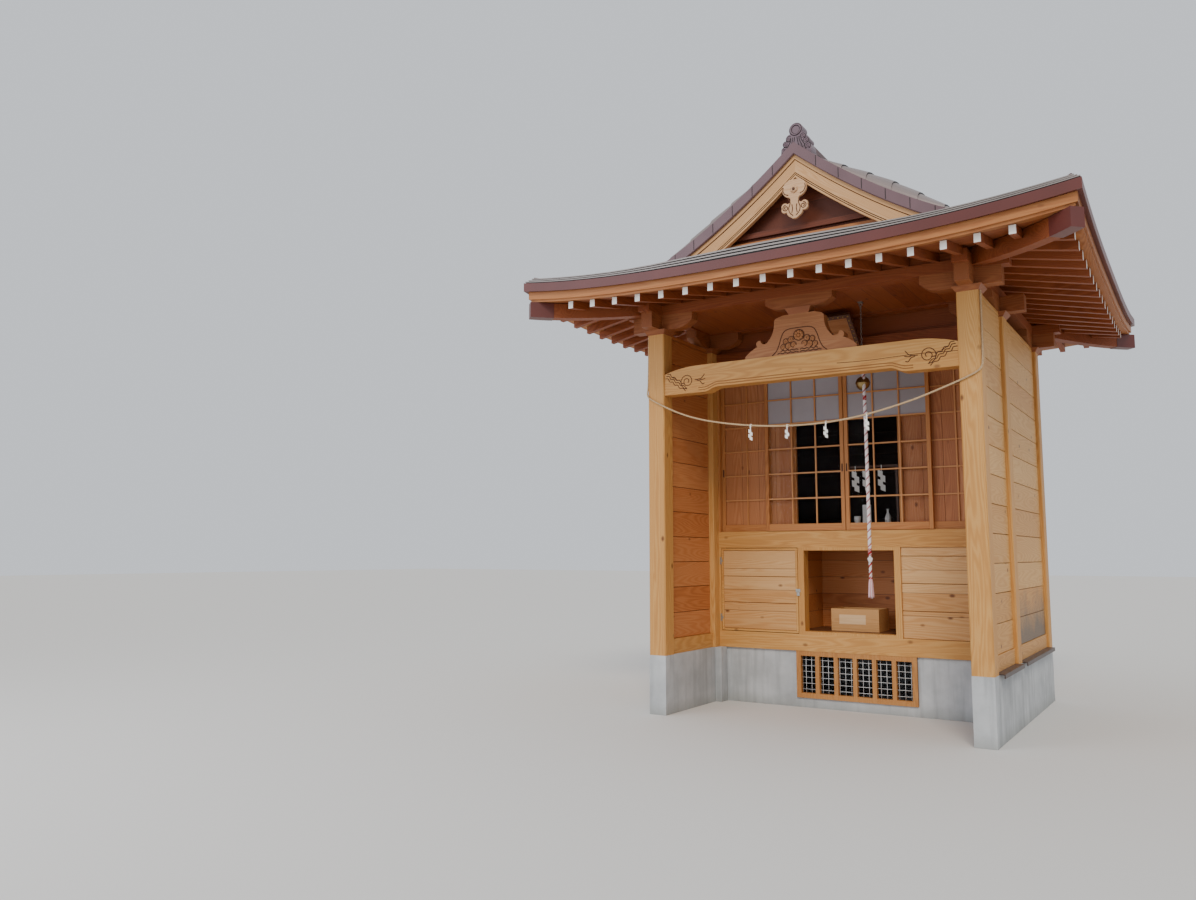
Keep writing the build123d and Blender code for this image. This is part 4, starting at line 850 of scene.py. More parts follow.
# The eave edge is built up of thin layers, each set back behind the one below
layer_fronts, layer_pitch, layer_gap = (0.008, 0.026, 0.046), 0.0155, 0.0080
layers_top = layer_pitch * len(layer_fronts)
middle_spread, middle_excess, layers_depth = 1.4, 0.65, 0.9
nose_depth, layers_back = 0.006, 0.070


def layer_share(from_corner):
    """How much thicker the layers are than at the corners: most at the middle of an eave."""
    from_middle = min(1.0, abs(eave_y - from_corner) / middle_spread)
    return 1 + middle_excess * cos(pi / 2 * from_middle) ** 2


def layer_fade(inset, from_corner):
    """Height of the covering above its boarding, from the layered edge up the slope."""
    return layers_top * layer_share(from_corner) * max(0.0, 1 - inset / layers_depth) ** 2


butt_rise, butt_sink, rows_in_course = 0.009, -0.003, 3
skirt_courses = (0.066, 0.193, 0.385, 0.578, verge_inset)
upper_courses = tuple(verge_inset + (eave_x - verge_inset) * k / 7 for k in range(1, 8))


def places_along(reach, half_eave, main):
    """Places along a course, closer together at the corners and in the round behind a verge."""
    places = [reach * sin(pi / 2 * k / 14) for k in range(15)]
    if main:
        verge = half_eave - verge_inset
        rounding = [verge - swell_round * (1 - cos(pi / 2 * k / 8)) for k in range(1, 9)]
        places = sorted([reach * k / 6 for k in range(4)] + [min(reach, place) for place in rounding]
                        + [verge, (verge + reach) / 2, reach])
    return sorted([-place for place in places if place > 0]) + places


def course_reach(inset, high, main):
    """Half the length of a course: mitred at the hips, then up to the verges or in under a gable."""
    if main:
        return max(eave_y - inset, eave_y - verge_inset)
    return skirt_head if high > verge_inset else eave_x - inset


def covering(main, turn):
    """The courses of a main side or of a skirt, turned about the vertical into their place."""
    half_eave, half_reach = (eave_y, eave_x) if main else (eave_x, eave_y)
    courses = skirt_courses + (upper_courses if main else (skirt_far,))
    parts = []
    for low, high in zip(courses, courses[1:]):
        top, bottom = [], []
        for r in range(rows_in_course + 1):
            inset = low + (high - low) * r / rows_in_course
            rise = butt_rise + (butt_sink - butt_rise) * r / rows_in_course
            upper, lower = [], []
            for along in places_along(course_reach(inset, high, main), half_eave, main):
                from_corner = half_eave - abs(along)
                z = roof_top(inset, from_corner)
                rounding = swell(inset, from_corner) if main else 0.0
                head = z + rounding + layer_fade(inset, from_corner) + rise
                upper.append(turn @ Vector((along, inset - half_reach, head)))
                lower.append(turn @ Vector((along, inset - half_reach, z - cover)))
            top.append(upper)
            bottom.append(lower)
        parts.append(shell(top, bottom, roof_sheet, shade_sheet))
    return parts


def eave_strip(half_eave, half_reach, turn, near, far, foot, head, material):
    """A band along an eave, between two distances behind its edge and two heights over the boarding."""
    top, bottom = [], []
    for inset in (near, far):
        reach = half_eave - inset
        for line, level in ((top, head), (bottom, foot)):
            row = []
            for k in range(-14, 15):
                along = reach * sin(pi / 2 * k / 14)
                from_corner = half_eave - abs(along)
                z = roof_top(inset, from_corner) + level * (layer_share(from_corner) if level > 0 else 1)
                row.append(turn @ Vector((along, inset - half_reach, z)))
            line.append(row)
    return shell(top, bottom, material)


def eave_edge(main, turn):
    """The maroon drip band, with the thin layers of sheet on it: a gap of painted shade, then a painted
    highlight on the nose.
    """
    side = (eave_y, eave_x, turn) if main else (eave_x, eave_y, turn)
    parts = [eave_strip(*side, 0.0, skirt_courses[0], -cover, 0.0, maroon_sheet)]
    for number, front in enumerate(layer_fronts):
        low = layer_pitch * number
        parts.append(eave_strip(*side, front + nose_depth, layers_back, low, low + layer_gap, shade_sheet))
        parts.append(eave_strip(*side, front, layers_back, low + layer_gap, low + layer_pitch, highlight_sheet))
    return parts


quarter = {n: Matrix.Rotation(pi / 2 * n, 3, "Z") for n in range(4)}
for label, n in (("roof_right_slope", 1), ("roof_left_slope", 3)):
    piece(label + "_courses", covering(True, quarter[n]) + eave_edge(True, quarter[n]), "root",
          [label])
skirts = [part for n in (0, 2) for part in covering(False, quarter[n]) + eave_edge(False, quarter[n])]
piece("roof_skirt_courses", skirts, "root", ["roof_skirts"])

hip_seam, seam_start, seam_rise = 0.011, 0.060, 0.006
seams = []
for x_side, y_side in ((1, 1), (1, -1), (-1, 1), (-1, -1)):
    line = []
    for inset in (seam_start + (verge_inset - 0.075) * k / 12 for k in range(13)):
        line.append((x_side * (eave_x - inset), y_side * (eave_y - inset),
                     roof_top(inset, inset) + layer_fade(inset, inset) + seam_rise))
    seams.append(tube(line, hip_seam, ridge_sheet, 8))
piece("hip_seams", seams, "root")

# Gables
skirt_bite = 0.012  # how far a band's foot stops below the surface of the skirt


def under_main(x, drop):
    """Height of a curve below the main covering, at a distance from the ridge."""
    return roof_top(eave_x - x, eave_y) - drop


def gable_sweep(section, start, end, steps, side, rear, materials, grooved=()):
    """A band that follows the covering down one side of a gable.

    section holds the distance of each corner before the middle of the roof and its drop below
    the covering. The faces after the corners in grooved take the second material."""
    vertices = []
    for k in range(steps + 1):
        x = start + (end - start) * k / steps
        for y, drop in section:
            skirt_z = roof_top(eave_y - y, eave_x - x) + layer_fade(eave_y - y, eave_x - x) - skirt_bite
            point = Vector((side * x, -y, max(under_main(x, drop), skirt_z)))
            vertices.append(Vector((-point.x, -point.y, point.z)) if rear else point)
    obj = outward(mesh_object(vertices, skin_faces(steps + 1, len(section))))
    for material in materials:
        obj.data.materials.append(material)
    for face in obj.data.polygons[:steps * len(section)]:
        face.material_index = 1 if face.index % len(section) in grooved else 0
    return obj


cap_face, cap_back, cap_height = 1.300, 1.281, 0.092
cap_section = [(cap_back, -0.004), (cap_face, -0.004), (cap_face, cap_height - 0.006),
               (cap_face - 0.006, cap_height), (cap_back, cap_height)]
fold_near, fold_far = cap_face - 0.002, cap_face + 0.0015
fold_section = [(fold_near, 0.001), (fold_far, 0.001), (fold_far, cap_height - 0.010),
                (fold_near, cap_height - 0.010)]
fold_pitch, fold_wide = 0.176, 0.005  # across the gable; some 214 mm apart along the slope
barge_face, barge_back, barge_drop = 1.275, 1.230, 0.275
ledge_face, groove_face = barge_face - 0.005, barge_face - 0.011
barge_section = [(barge_back, 0.071), (barge_face, 0.071), (barge_face, 0.128), (barge_face - 0.008, 0.134),
                 (ledge_face, 0.137), (ledge_face, 0.234), (groove_face, 0.236), (groove_face, 0.240),
                 (ledge_face, 0.242), (ledge_face, 0.250), (groove_face, 0.252), (groove_face, 0.256),
                 (ledge_face, 0.258), (ledge_face, barge_drop), (barge_back, barge_drop)]
barge_grooves = (2, 5, 6, 7, 9, 10, 11)
caps, barges = [], []
# the folds between the cap sheets are drawn in painted shade
for rear, side in ((False, 1), (False, -1), (True, 1), (True, -1)):
    caps.append(gable_sweep(cap_section, 0.0, 1.290, 26, side, rear, [cap_sheet]))
    for start in (fold_pitch * k for k in range(1, 8)):
        caps.append(gable_sweep(fold_section, start, start + fold_wide, 1, side, rear, [shade_sheet]))
    barges.append(gable_sweep(barge_section, 0.0, 1.025, 26, side, rear,
                              [cedar_barge[-side if rear else side], shadow_groove], barge_grooves))
piece("verge_caps_jointed", caps, "root", ["verge_caps"])
piece("bargeboards_moulded", barges, "root", ["bargeboards"])

# Gable pendants: a shouldered head with a peg over two scrolls
pendant_y, pendant_back, pendant_top, pendant_cut = -1.303, -1.2755, eave_z + 0.792, 0.0038
pendant_arcs = [((0.072, -0.016), (0.098, -0.058)), ((0.090, -0.108), (0.044, -0.142)),
                ((0.034, -0.172), (0.058, -0.190)), ((0.096, -0.184), (0.106, -0.220)),
                ((0.096, -0.256), (0.066, -0.256)), ((0.052, -0.288), (0.030, -0.302)),
                ((0.016, -0.314), (0.0, -0.316))]
pendant_lines = (((0.050, -0.150), (0.034, -0.185), (0.046, -0.225), (0.040, -0.262), (0.012, -0.292)),
                 ((0.088, -0.052), (0.092, -0.078), (0.076, -0.108), (0.048, -0.122)),
                 ((0.020, -0.200), (0.016, -0.235), (0.022, -0.268)))
outline = [(x, pendant_top + z) for x, z in mirrored(through_arcs((0.0, 0.0), pendant_arcs))]
parts = [plate(outline, (pendant_y, pendant_back), cedar_carved, 0.005)]
for hand in (1, -1):
    scroll = spiral((hand * 0.072, pendant_top - 0.222), pendant_y, 0.026, 0.006, 1.5, pi / 2, -hand)
    for line in [scroll] + [on_front(shape, pendant_y, pendant_top, hand) for shape in pendant_lines]:
        parts.append(tube(flowing(line), pendant_cut, shadow_groove))
peg_z = pendant_top - 0.080
petal = [(0.013, 0.0), (0.014, 0.006), (0.008, 0.011), (0.001, 0.013)]
peg = [(0.011, 0.0), (0.011, 0.018), (0.007, 0.022), (0.001, 0.022)]
parts += petals(6, pendant_y + 0.001, peg_z, 0.017, petal, cedar_carved, 14, pi / 6)
parts.append(turned_body(peg, (0.0, pendant_y, peg_z), dark_stain, 16, "y"))
piece("gable_pendants_carved", with_rear(parts), "root", ["gable_pendants"])

# A squared beam and a thin ledge along the foot of each gable wall
wall_face = span("gable_walls")[1][1]
ledge_z = roof_top(eave_y - wall_face, eave_y) + layer_fade(eave_y - wall_face, eave_y) - 0.010
foot_x, foot_y, foot_high = (-0.96, 0.96), (-wall_face - 0.016, -wall_face + 0.002), 0.082
strip_x, strip_y, strip_high = (-0.90, 0.90), (-wall_face - 0.008, -wall_face + 0.002), 0.110
foot_beam = [(foot_x, foot_y, (ledge_z, ledge_z + foot_high)),
             (strip_x, strip_y, (ledge_z + foot_high, ledge_z + strip_high))]
piece("gable_foot_beams", with_rear([boxes(foot_beam, cedar_fascia_x, 0.003)]))

# Ridge-end ornaments: a ringed disc on a fan of scrolls and waves
ridge_peak = roof_top(eave_x, eave_y)
disc_z, disc_radius, fan_foot = ridge_peak + 0.1275, 0.056, 0.118
ornament_face, ornament_back, ornament_cut = -1.240, -1.130, 0.0022
lobes = (((0.1255, -0.040), (0.104, 0.006)), ((0.109, 0.036), (0.083, 0.050)),
         ((0.080, 0.078), (0.0485, 0.099)))
ornament_scrolls = (((0.094, -0.026), 0.022, 1.6), ((0.083, 0.022), 0.018, 1.5),
                    ((0.058, 0.062), 0.018, 1.5))
half = [(0.0, ridge_peak + 0.001)]
half += through_arcs((fan_foot, under_main(fan_foot, -0.001)),
                     [[(x, ridge_peak + z) for x, z in arc] for arc in lobes])
half += [(disc_radius * cos(a), disc_z + disc_radius * sin(a))
         for a in (-0.5 + (pi / 2 + 0.5) * k / 12 for k in range(13))]
parts = [plate(mirrored(half), (ornament_face, ornament_back), ornament_sheet, 0.005)]
parts.append(tube(spiral((0.0, disc_z), ornament_face - 0.002, 0.041, 0.041, 1.0, steps=32), 0.006,
                  ornament_sheet, 8))
# the rings, the cuts round the scrolls and the waves are drawn in painted shade
for radius in (0.033, 0.049):
    ring = spiral((0.0, disc_z), ornament_face, radius, radius, 1.0, steps=32)
    parts.append(tube(ring, ornament_cut, shade_sheet))
for hand in (1, -1):
    for (x, z), size, turns in ornament_scrolls:
        centre = (hand * x, ridge_peak + z)
        scroll = spiral(centre, ornament_face - 0.001, size, 0.004, turns, -pi / 3, hand)
        cut = spiral(centre, ornament_face, size + 0.006, size + 0.005, 0.7, -pi / 3, hand)
        parts += [tube(scroll, 0.0042, ornament_sheet), tube(cut, ornament_cut, shade_sheet)]
    for inner, outer in ((0.010, 0.024), (0.026, 0.048), (0.042, 0.072)):
        wave = ((inner, 0.066), (inner + 0.004, 0.036), (outer, -0.010), (outer + 0.010, -0.050))
        parts.append(tube(flowing(on_front(wave, ornament_face, ridge_peak, hand)), 0.0030, shade_sheet))
piece("ridge_end_ornaments_scrolled", with_rear(parts), "root", ["ridge_end_ornaments"])

# Rafter ends, painted white
rafter_wide, rafter_high, rafter_lean = 0.043, 0.058, 0.0225
end_inset, paint_proud, paint_thick = 0.095, 0.0006, 0.0016
fascia_high, fascia_lip, rafter_bays = 0.065, 0.019, 12
for label, half_eave, half_reach, half_bay, turns in (("across", eave_x, eave_y, post_x, (0, 2)),
                                                      ("along", eave_y, eave_x, post_y, (1, 3))):
    points = []
    for n in turns:
        for along in (index * (half_bay / 6) for index in range(-8, 9)):
            over = roof_top(end_inset, half_eave - abs(along) + rafter_lean) - cover
            top = over - fascia_high - fascia_lip - paint_proud
            middle = Vector((along, end_inset - half_reach - paint_proud, top - rafter_high / 2))
            points.append(quarter[n] @ middle)
    size = (rafter_wide, paint_thick, rafter_high)
    if label == "along":
        size = (paint_thick, rafter_wide, rafter_high)
    block = boxes([tuple((-s / 2, s / 2) for s in size)], arris=0.0005)
    piece("rafter_ends_" + label, [stamped(points, block, white_paint)])

# Closing boards between the rafters, on the purlins
closing_board, closing_inset, half_purlin = 0.012, 0.020, 0.0525
purlin_top = span("cross_purlins")[2][1]
closing_height = (purlin_top + 0.0005, purlin_top + 0.063)


def closing_boards(half_bay, face):
    """Spans along a side and across it, between each two rafters of both opposite sides."""
    pitch = 2 * half_bay / rafter_bays
    half_gap = (pitch - rafter_wide - 0.004) / 2
    near = face - closing_inset
    for hand in (1, -1):
        for middle in (-half_bay + pitch * (k + 0.5) for k in range(rafter_bays)):
            depth = sorted((hand * (near - closing_board), hand * near))
            yield (middle - half_gap, middle + half_gap), tuple(depth)


across = [(along, depth, closing_height) for along, depth in closing_boards(post_x, post_y + half_purlin)]
along = [(depth, along, closing_height) for along, depth in closing_boards(post_y, post_x + half_purlin)]
piece("rafter_closings_across", [boxes(across, cedar_eaves_x)])
piece("rafter_closings_along", [boxes(along, cedar_eaves_y)])

# Rainbow beam: two grooves along its lower edge, a long check, and carving at each end
beam_y, beam_z, beam_cut = -1.285, post_top - 0.522, 0.0034


def beam_foot(x):
    """Lower edge of the beam, raised between its shoulders."""
    share = min(1.0, max(0.0, (0.810 - abs(x)) / 0.120))
    return beam_z + 0.034 * share * share * (3 - 2 * share)


# each end has a scroll, a wave that climbs from under it to the post, two drops and a small flame
wave_low = ((0.980, 0.022), (1.005, 0.046), (1.035, 0.050), (1.052, 0.076), (1.082, 0.080), (1.098, 0.106),
            (1.126, 0.110), (1.140, 0.136), (1.168, 0.140))
end_shapes = [wave_low, tuple((x - 0.010, z + 0.020) for x, z in wave_low),
              tuple((x - 0.018, z + 0.038) for x, z in wave_low[1:]),
              ((1.062, 0.124), (1.072, 0.132), (1.082, 0.130)),
              ((1.086, 0.136), (1.096, 0.144), (1.106, 0.142)),
              ((0.895, 0.106), (0.860, 0.108), (0.832, 0.116), (0.806, 0.146)),
              ((0.875, 0.100), (0.846, 0.090), (0.826, 0.066), (0.806, 0.070)),
              ((0.850, 0.104), (0.828, 0.102), (0.800, 0.108))]
parts = []
for rise in (0.018, 0.038):
    groove = [(x, beam_y, beam_foot(x) + rise) for x in (-0.86 + 1.72 * k / 60 for k in range(61))]
    parts.append(tube(groove, 0.0036, planed_groove))
for hand in (1, -1):
    scroll = spiral((hand * 0.965, beam_z + 0.100), beam_y, 0.064, 0.012, 1.9, -pi / 2, hand)
    for line in [scroll] + [flowing(on_front(shape, beam_y, beam_z, hand)) for shape in end_shapes]:
        parts.append(tube(line, beam_cut, shadow_groove))
check_z = beam_z + 0.112
check = [(x, beam_y, check_z + 0.004 * sin(9 * x)) for x in (0.30 + 0.87 * k / 24 for k in range(25))]
parts.append(tube(check, 0.0022, shadow_groove, 5))
piece("rainbow_beam_carving", parts)

# Frog-leg strut: a flower among clouds over waves, in a panel with hollow sides
strut_face, strut_z = -1.270, beam_z + 0.224
strut_side = ((0.222, 0.006), (0.188, 0.036), (0.164, 0.084), (0.146, 0.140), (0.120, 0.186), (0.080, 0.202),
              (0.040, 0.204), (0.0, 0.205))
strut_clouds = (((0.064, 0.118), 0.018, 1.4), ((0.106, 0.108), 0.016, 1.3), ((0.044, 0.078), 0.016, 1.3),
                ((0.086, 0.070), 0.019, 1.5), ((0.128, 0.066), 0.015, 1.2))
parts = []
for hand in (1, -1):
    parts.append(tube(flowing(on_front(strut_side, strut_face, strut_z, hand)), 0.0040, shadow_groove))
    for (x, z), size, turns in strut_clouds:
        centre = (hand * x, strut_z + z)
        cloud = spiral(centre, strut_face - 0.002, size, 0.005, turns, -pi / 2, hand)
        cut = spiral(centre, strut_face, size + 0.008, size + 0.006, 0.8, -pi / 2, hand)
        parts += [tube(cloud, 0.0056, cedar_strut, 7), tube(cut, 0.0030, shadow_groove)]
    for row, reach in ((0.014, 0.178), (0.032, 0.150)):
        wave = [(0.006 + (reach - 0.006) * k / 8, row + 0.007 * (k % 2)) for k in range(9)]
        parts.append(tube(flowing(on_front(wave, strut_face, strut_z, hand)), 0.0042, shadow_groove))
flower_z = strut_z + 0.146
petal = [(0.014, 0.0), (0.013, 0.006), (0.008, 0.010), (0.001, 0.012)]
heart = [(0.014, 0.0), (0.013, 0.010), (0.008, 0.015), (0.001, 0.017)]
parts += petals(8, strut_face, flower_z, 0.026, petal, cedar_strut, 16)
parts.append(turned_body(heart, (0.0, strut_face, flower_z), cedar_strut, 18, "y"))
for radius in (0.017, 0.043):
    ring = spiral((0.0, flower_z), strut_face - 0.004, radius, radius, 1.0)
    parts.append(tube(ring, 0.0028, shadow_groove))
piece("strut_relief", parts)

# Walls: boards laid flat between the posts, with an outer and an inner skin round a dark core of painted
# shade that shows in the joints
board_gap, board_arris, core_inset = 0.004, 0.003, 0.012
wall_far, wall_near, wall_mid = 1.295, 1.220, 1.2575


def board_rows(low, high):
    rows, z = [], low
    while z < high - 0.01:
        rows.append((z + board_gap / 2, min(z + board_pitch, high) - board_gap / 2))
        z += board_pitch
    return rows


def even_rows(low, height, count=3):
    """Heights of boards of one width, with an open joint between each two."""
    return [(low + height * k + board_gap / 2, low + height * (k + 1) - board_gap / 2) for k in range(count)]


side_bays = [(-post_y + post / 2, middle_y - post / 2), (middle_y + post / 2, post_y - post / 2)]
for name, side in (("right_wall", 1), ("left_wall", -1)):
    foot, top = span(name)[2]
    outer, inner, core = (tuple(sorted((side * a, side * b))) for a, b in (
        (wall_mid, wall_far), (wall_near, wall_mid), (wall_near + core_inset, wall_far - core_inset)))
    finishes = ((outer, cedar_boards_side, cedar_boards_stained if side > 0 else cedar_boards_side),
                (inner, cedar_boards_porch, cedar_hall))
    parts = [boxes([(depth, bay, row) for row in board_rows(foot, top)], material, board_arris)
             for depth, *materials in finishes for bay, material in zip(side_bays, materials)]
    parts.append(boxes([(core, bay, (foot, top - 0.002)) for bay in side_bays], shadow_groove))
    piece(name + "_boards", parts, "root", [name])
across, (y0, y1), (z0, z1) = span("rear_wall")
y_mid = (y0 + y1) / 2
parts = [boxes([(across, depth, row) for row in board_rows(z0, z1)], material, board_arris)
         for depth, material in (((y_mid, y1), cedar_boards_rear), ((y0, y_mid), cedar_hall))]
parts.append(boxes([(across, (y0 + core_inset, y1 - core_inset), (z0, z1 - 0.002))], shadow_groove))
piece("rear_wall_boards", parts, "root", ["rear_wall"])

# Lower front: boards in the panel to the right of the niche, and the access door, each on a core of painted
# shade that shows in the joints
across, (y0, y1), (z0, z1) = span("lower_right_panel")
narrow_board = 0.072
rows = even_rows(z0, (z1 - z0 - narrow_board) / 3) + [(z1 - narrow_board + board_gap / 2, z1)]
parts = [boxes([(across, (y0, y1), row) for row in rows], cedar_boards_low, board_arris),
         boxes([(across, (y0 + 0.010, y1 - 0.002), (z0, z1))], shadow_groove)]
piece("lower_right_panel_boards", parts, "root", ["lower_right_panel"])

(x0, x1), (y0, y1), (z0, z1) = span("access_door")
margin, recess = 0.018, 0.005
field_x, field_z = (x0 + margin, x1 - margin), (z0 + margin, z1 - margin)
frame_bars = [((x0, field_x[0]), (y0, y1), (z0, z1)), ((field_x[1], x1), (y0, y1), (z0, z1)),
              (field_x, (y0, y1), (z0, field_z[0])), (field_x, (y0, y1), (field_z[1], z1))]
rows = even_rows(z0 + margin, (z1 - z0 - 2 * margin) / 3)
parts = [boxes(frame_bars, cedar_cross, 0.0012),
         boxes([(field_x, (y0 + recess, y1), row) for row in rows], cedar_boards_low, board_arris),
         boxes([(field_x, (y0 + core_inset, y1 - 0.002), field_z)], shadow_groove)]
piece("access_door_boards", parts, "access_door", ["access_door"])

# Lattice doors: the inner pair glazed, frosted above, and the outer pair backed with boards
stile, bottom_rail, top_rail = 0.032, 0.060, 0.035
muntin, muntin_deep, muntin_back, muntin_lap = 0.012, 0.014, 0.002, 0.0006
columns, rows, frosted_rows, backing_boards = 3, 6, 2, 4
door_arris, muntin_arris, backing_thick = 0.0015, 0.0008, 0.008
pull_wide, pull_high = 0.014, 0.066
for pair, side in (("inner", "left"), ("inner", "right"), ("outer", "left"), ("outer", "right")):
    node, body = f"{pair}_{side}_lattice_door", f"{pair}_{side}_door"
    (x0, x1), (y0, y1), (z0, z1) = span(node)
    fx, fz = (x0 + stile, x1 - stile), (z0 + bottom_rail, z1 - top_rail)
    bar_y = (y0 + muntin_back, y0 + muntin_back + muntin_deep)
    row_z = [fz[0] + (fz[1] - fz[0]) * k / rows for k in range(rows + 1)]
    column_x = [fx[0] + (fx[1] - fx[0]) * k / columns for k in range(columns + 1)]
    bars = [((x - muntin / 2, x + muntin / 2), bar_y, fz) for x in column_x[1:-1]]
    cross = [(fx, (bar_y[0] + muntin_lap, bar_y[1]), (z - muntin / 2, z + muntin / 2)) for z in row_z[1:-1]]
    stiles = [((x0, fx[0]), (y0, y1), (z0, z1)), ((fx[1], x1), (y0, y1), (z0, z1))]
    rails = [(fx, (y0, y1), (z0, fz[0])), (fx, (y0, y1), (fz[1], z1))]
    parts = [boxes(stiles, cedar_door_upright, door_arris), boxes(rails, cedar_door_cross, door_arris),
             boxes(bars, cedar_muntin_upright, muntin_arris), boxes(cross, cedar_muntin_cross, muntin_arris)]
    # behind the backing boards, a dark sheet of painted shade shows in their joints
    if pair == "outer":
        wide, board_y = (fx[1] - fx[0]) / backing_boards, (bar_y[1], bar_y[1] + backing_thick)
        boards = [((fx[0] + wide * k + 0.001, fx[0] + wide * (k + 1) - 0.001), board_y, fz)
                  for k in range(backing_boards)]
        parts += [boxes(boards, cedar_door_backing, 0.001),
                  boxes([(fx, (bar_y[1] + 0.004, bar_y[1] + 0.0075), fz)], shadow_groove)]
    else:
        glass = f"inner_{side}_glass"
        pane_y, edge_z = span(glass)[1], row_z[rows - frosted_rows]
        clear = boxes([(fx, pane_y, (fz[0], edge_z))], clear_glass)
        frosted = boxes([(fx, pane_y, (edge_z, fz[1]))], frosted_glass)
        piece(f"inner_{side}_clear_pane", [clear], body, [glass])
        piece(f"inner_{side}_frosted_pane", [frosted], body)
    # finger pulls let into the meeting stiles of the inner doors and the outer stiles of the others, drawn as
    # dark patches of painted shade
    on_right = (side == "left") == (pair == "inner")
    pull_x, pull_z = (x1 - stile / 2 if on_right else x0 + stile / 2), row_z[2] + 0.03
    parts.append(boxes([((pull_x - pull_wide / 2, pull_x + pull_wide / 2), (y0 - 0.0008, y0 + 0.002),
                         (pull_z - pull_high / 2, pull_z + pull_high / 2))], shadow_groove, 0.0006))
    piece(node + "_joined", parts, body, [node])

# Jambs that close the play between the outer doors and the middle posts
jamb_wide, jamb_z = 0.0172, (1.4181, 2.8949)
jambs = [(jamb_x, (hall_y + 0.004, hall_back - 0.002), jamb_z)
         for jamb_x in ((inner_x - jamb_wide, inner_x), (-inner_x, -inner_x + jamb_wide))]
piece("door_jambs", [boxes(jambs, cedar_door_upright, 0.001)])

# Vent grille: welded mesh behind the bars
(x0, x1), (y0, y1), (z0, z1) = span("vent_grille")
frame_bar, mesh_square, wire, wire_lap = 0.040, 0.049, 0.0021, 0.003
wire_y, middle_z = y1 - 0.012, (z0 + z1) / 2
low, high = (x0 + frame_bar, z0 + frame_bar), (x1 - frame_bar, z1 - frame_bar)
columns, rows = (int((high[i] - low[i]) / mesh_square) for i in (0, 1))
upright = tube([(0, 0, low[1] - middle_z), (0, 0, high[1] - middle_z)], wire)
level = tube([(low[0], 0, 0), (high[0], 0, 0)], wire)
across = [(low[0] + mesh_square * (k + 0.7), wire_y, middle_z) for k in range(columns)]
up = [(0, wire_y + wire_lap, low[1] + mesh_square * (k + 0.6)) for k in range(rows)]
piece("vent_mesh", [stamped(across, upright, wire_mesh), stamped(up, level, wire_mesh)], "root")

# Offering box label, left bare
(x0, x1), (y0, y1), (z0, z1) = span("offering_box")
label_x, label_z = (x0 + 0.070, x0 + 0.300), (z0 + 0.058, z0 + 0.138)
label = boxes([(label_x, (y0 - 0.0012, y0 + 0.0004), label_z)], cedar_label, 0.0004)
piece("offering_label", [label])

# On the altar shelf behind the glass: a cup, a card stand, a bottle and three paper streamers on a rack
shelf_top, vessels_y = span("altar_shelf")[2][1], 0.130
cup = [(0.020, 0.0), (0.022, 0.004), (0.028, 0.030), (0.030, 0.066), (0.027, 0.066), (0.024, 0.030),
       (0.016, 0.012), (0.001, 0.010)]
bottle = [(0.018, 0.0), (0.026, 0.010), (0.028, 0.045), (0.016, 0.078), (0.009, 0.094), (0.009, 0.116),
          (0.013, 0.122), (0.011, 0.124), (0.001, 0.118)]
piece("porcelain_vessels", [turned_body(cup, (-0.031, vessels_y, shelf_top), porcelain, 32),
                            turned_body(bottle, (0.237, vessels_y, shelf_top), porcelain, 32)])
piece("card_stand", [boxes([((0.018, 0.092), (0.120, 0.140), (shelf_top, shelf_top + 0.165))], paper, 0.002)])
rack_top, rack_y = 2.062, 0.110
rack = [((x - 0.010, x + 0.010), (rack_y - 0.010, rack_y + 0.010), (shelf_top, rack_top))
        for x in (-0.150, 0.330)]
rack.append(((-0.170, 0.350), (rack_y - 0.008, rack_y + 0.008), (rack_top - 0.018, rack_top)))
piece("streamer_rack", [boxes(rack, dark_stain, 0.002)])
parts = []
for place in (-0.030, 0.065, 0.200):
    parts.append(boxes([((place - 0.003, place + 0.003), (rack_y - 0.0088, rack_y - 0.0080),
                         (rack_top - 0.060, rack_top))], paper))
    parts += zigzag(place, rack_y - 0.0085, rack_top - 0.040, 0.042, 4, 0.056)
piece("altar_streamers", parts)

# Bell: a cast ball with a belt and a slit mouth drawn in painted shade, on a chain of welded links
(x0, x1), (y0, y1), (z0, z1) = span("bell")
bell_x, bell_y, bell_z = (x0 + x1) / 2, (y0 + y1) / 2, 2.640
bell_radius, mouth_drop = 0.055, 0.014
ball = [(max(0.001, bell_radius * sin(pi * k / 28)), -bell_radius * cos(pi * k / 28)) for k in range(29)]
belt = bell_radius + 0.003
belt_line = [(belt - 0.001, -0.0032), (belt, -0.0022), (belt, 0.0022), (belt - 0.001, 0.0032)]
ball = [p for p in ball if p[1] < -0.0035] + belt_line + [p for p in ball if p[1] > 0.0035]
shank = [(0.012, bell_radius - 0.003), (0.012, bell_radius + 0.003), (0.008, bell_radius + 0.006),
         (0.008, bell_radius + 0.014)]
mouth_reach = bell_radius - 0.0006
mouth = [(bell_x + mouth_reach * cos(a), bell_y, bell_z + mouth_reach * sin(a))
         for a in (-pi + pi * k / 24 for k in range(25))]
mouth = [p for p in mouth if p[2] < bell_z - mouth_drop]
link_top, link_foot, link_pitch = z1 - 0.030, bell_z + bell_radius + 0.016, 0.0212
links = int((link_top - link_foot) / link_pitch) + 1
places = [(bell_x, bell_y, link_foot + 0.006 + (link_top - link_foot) * k / (links - 1))
          for k in range(links)]
chain = stamped(places, link_ring(0.0058, 2.15, 0.0017), zinc, (0.0, 0.0, pi / 2))
top_ring = link_ring(0.012, 1.0, 0.0024, zinc, 24, 8)
top_ring.data.transform(Matrix.Translation((bell_x, bell_y, z1 - 0.0150)))
bell_middle = (bell_x, bell_y, bell_z)
parts = [turned_body(ball, bell_middle, brass, 56), turned_body(shank, bell_middle, brass, 24),
         tube(mouth, 0.0026, unlit_dark, 8), chain, top_ring]
piece("suzu_bell", parts, "bell", ["bell"])

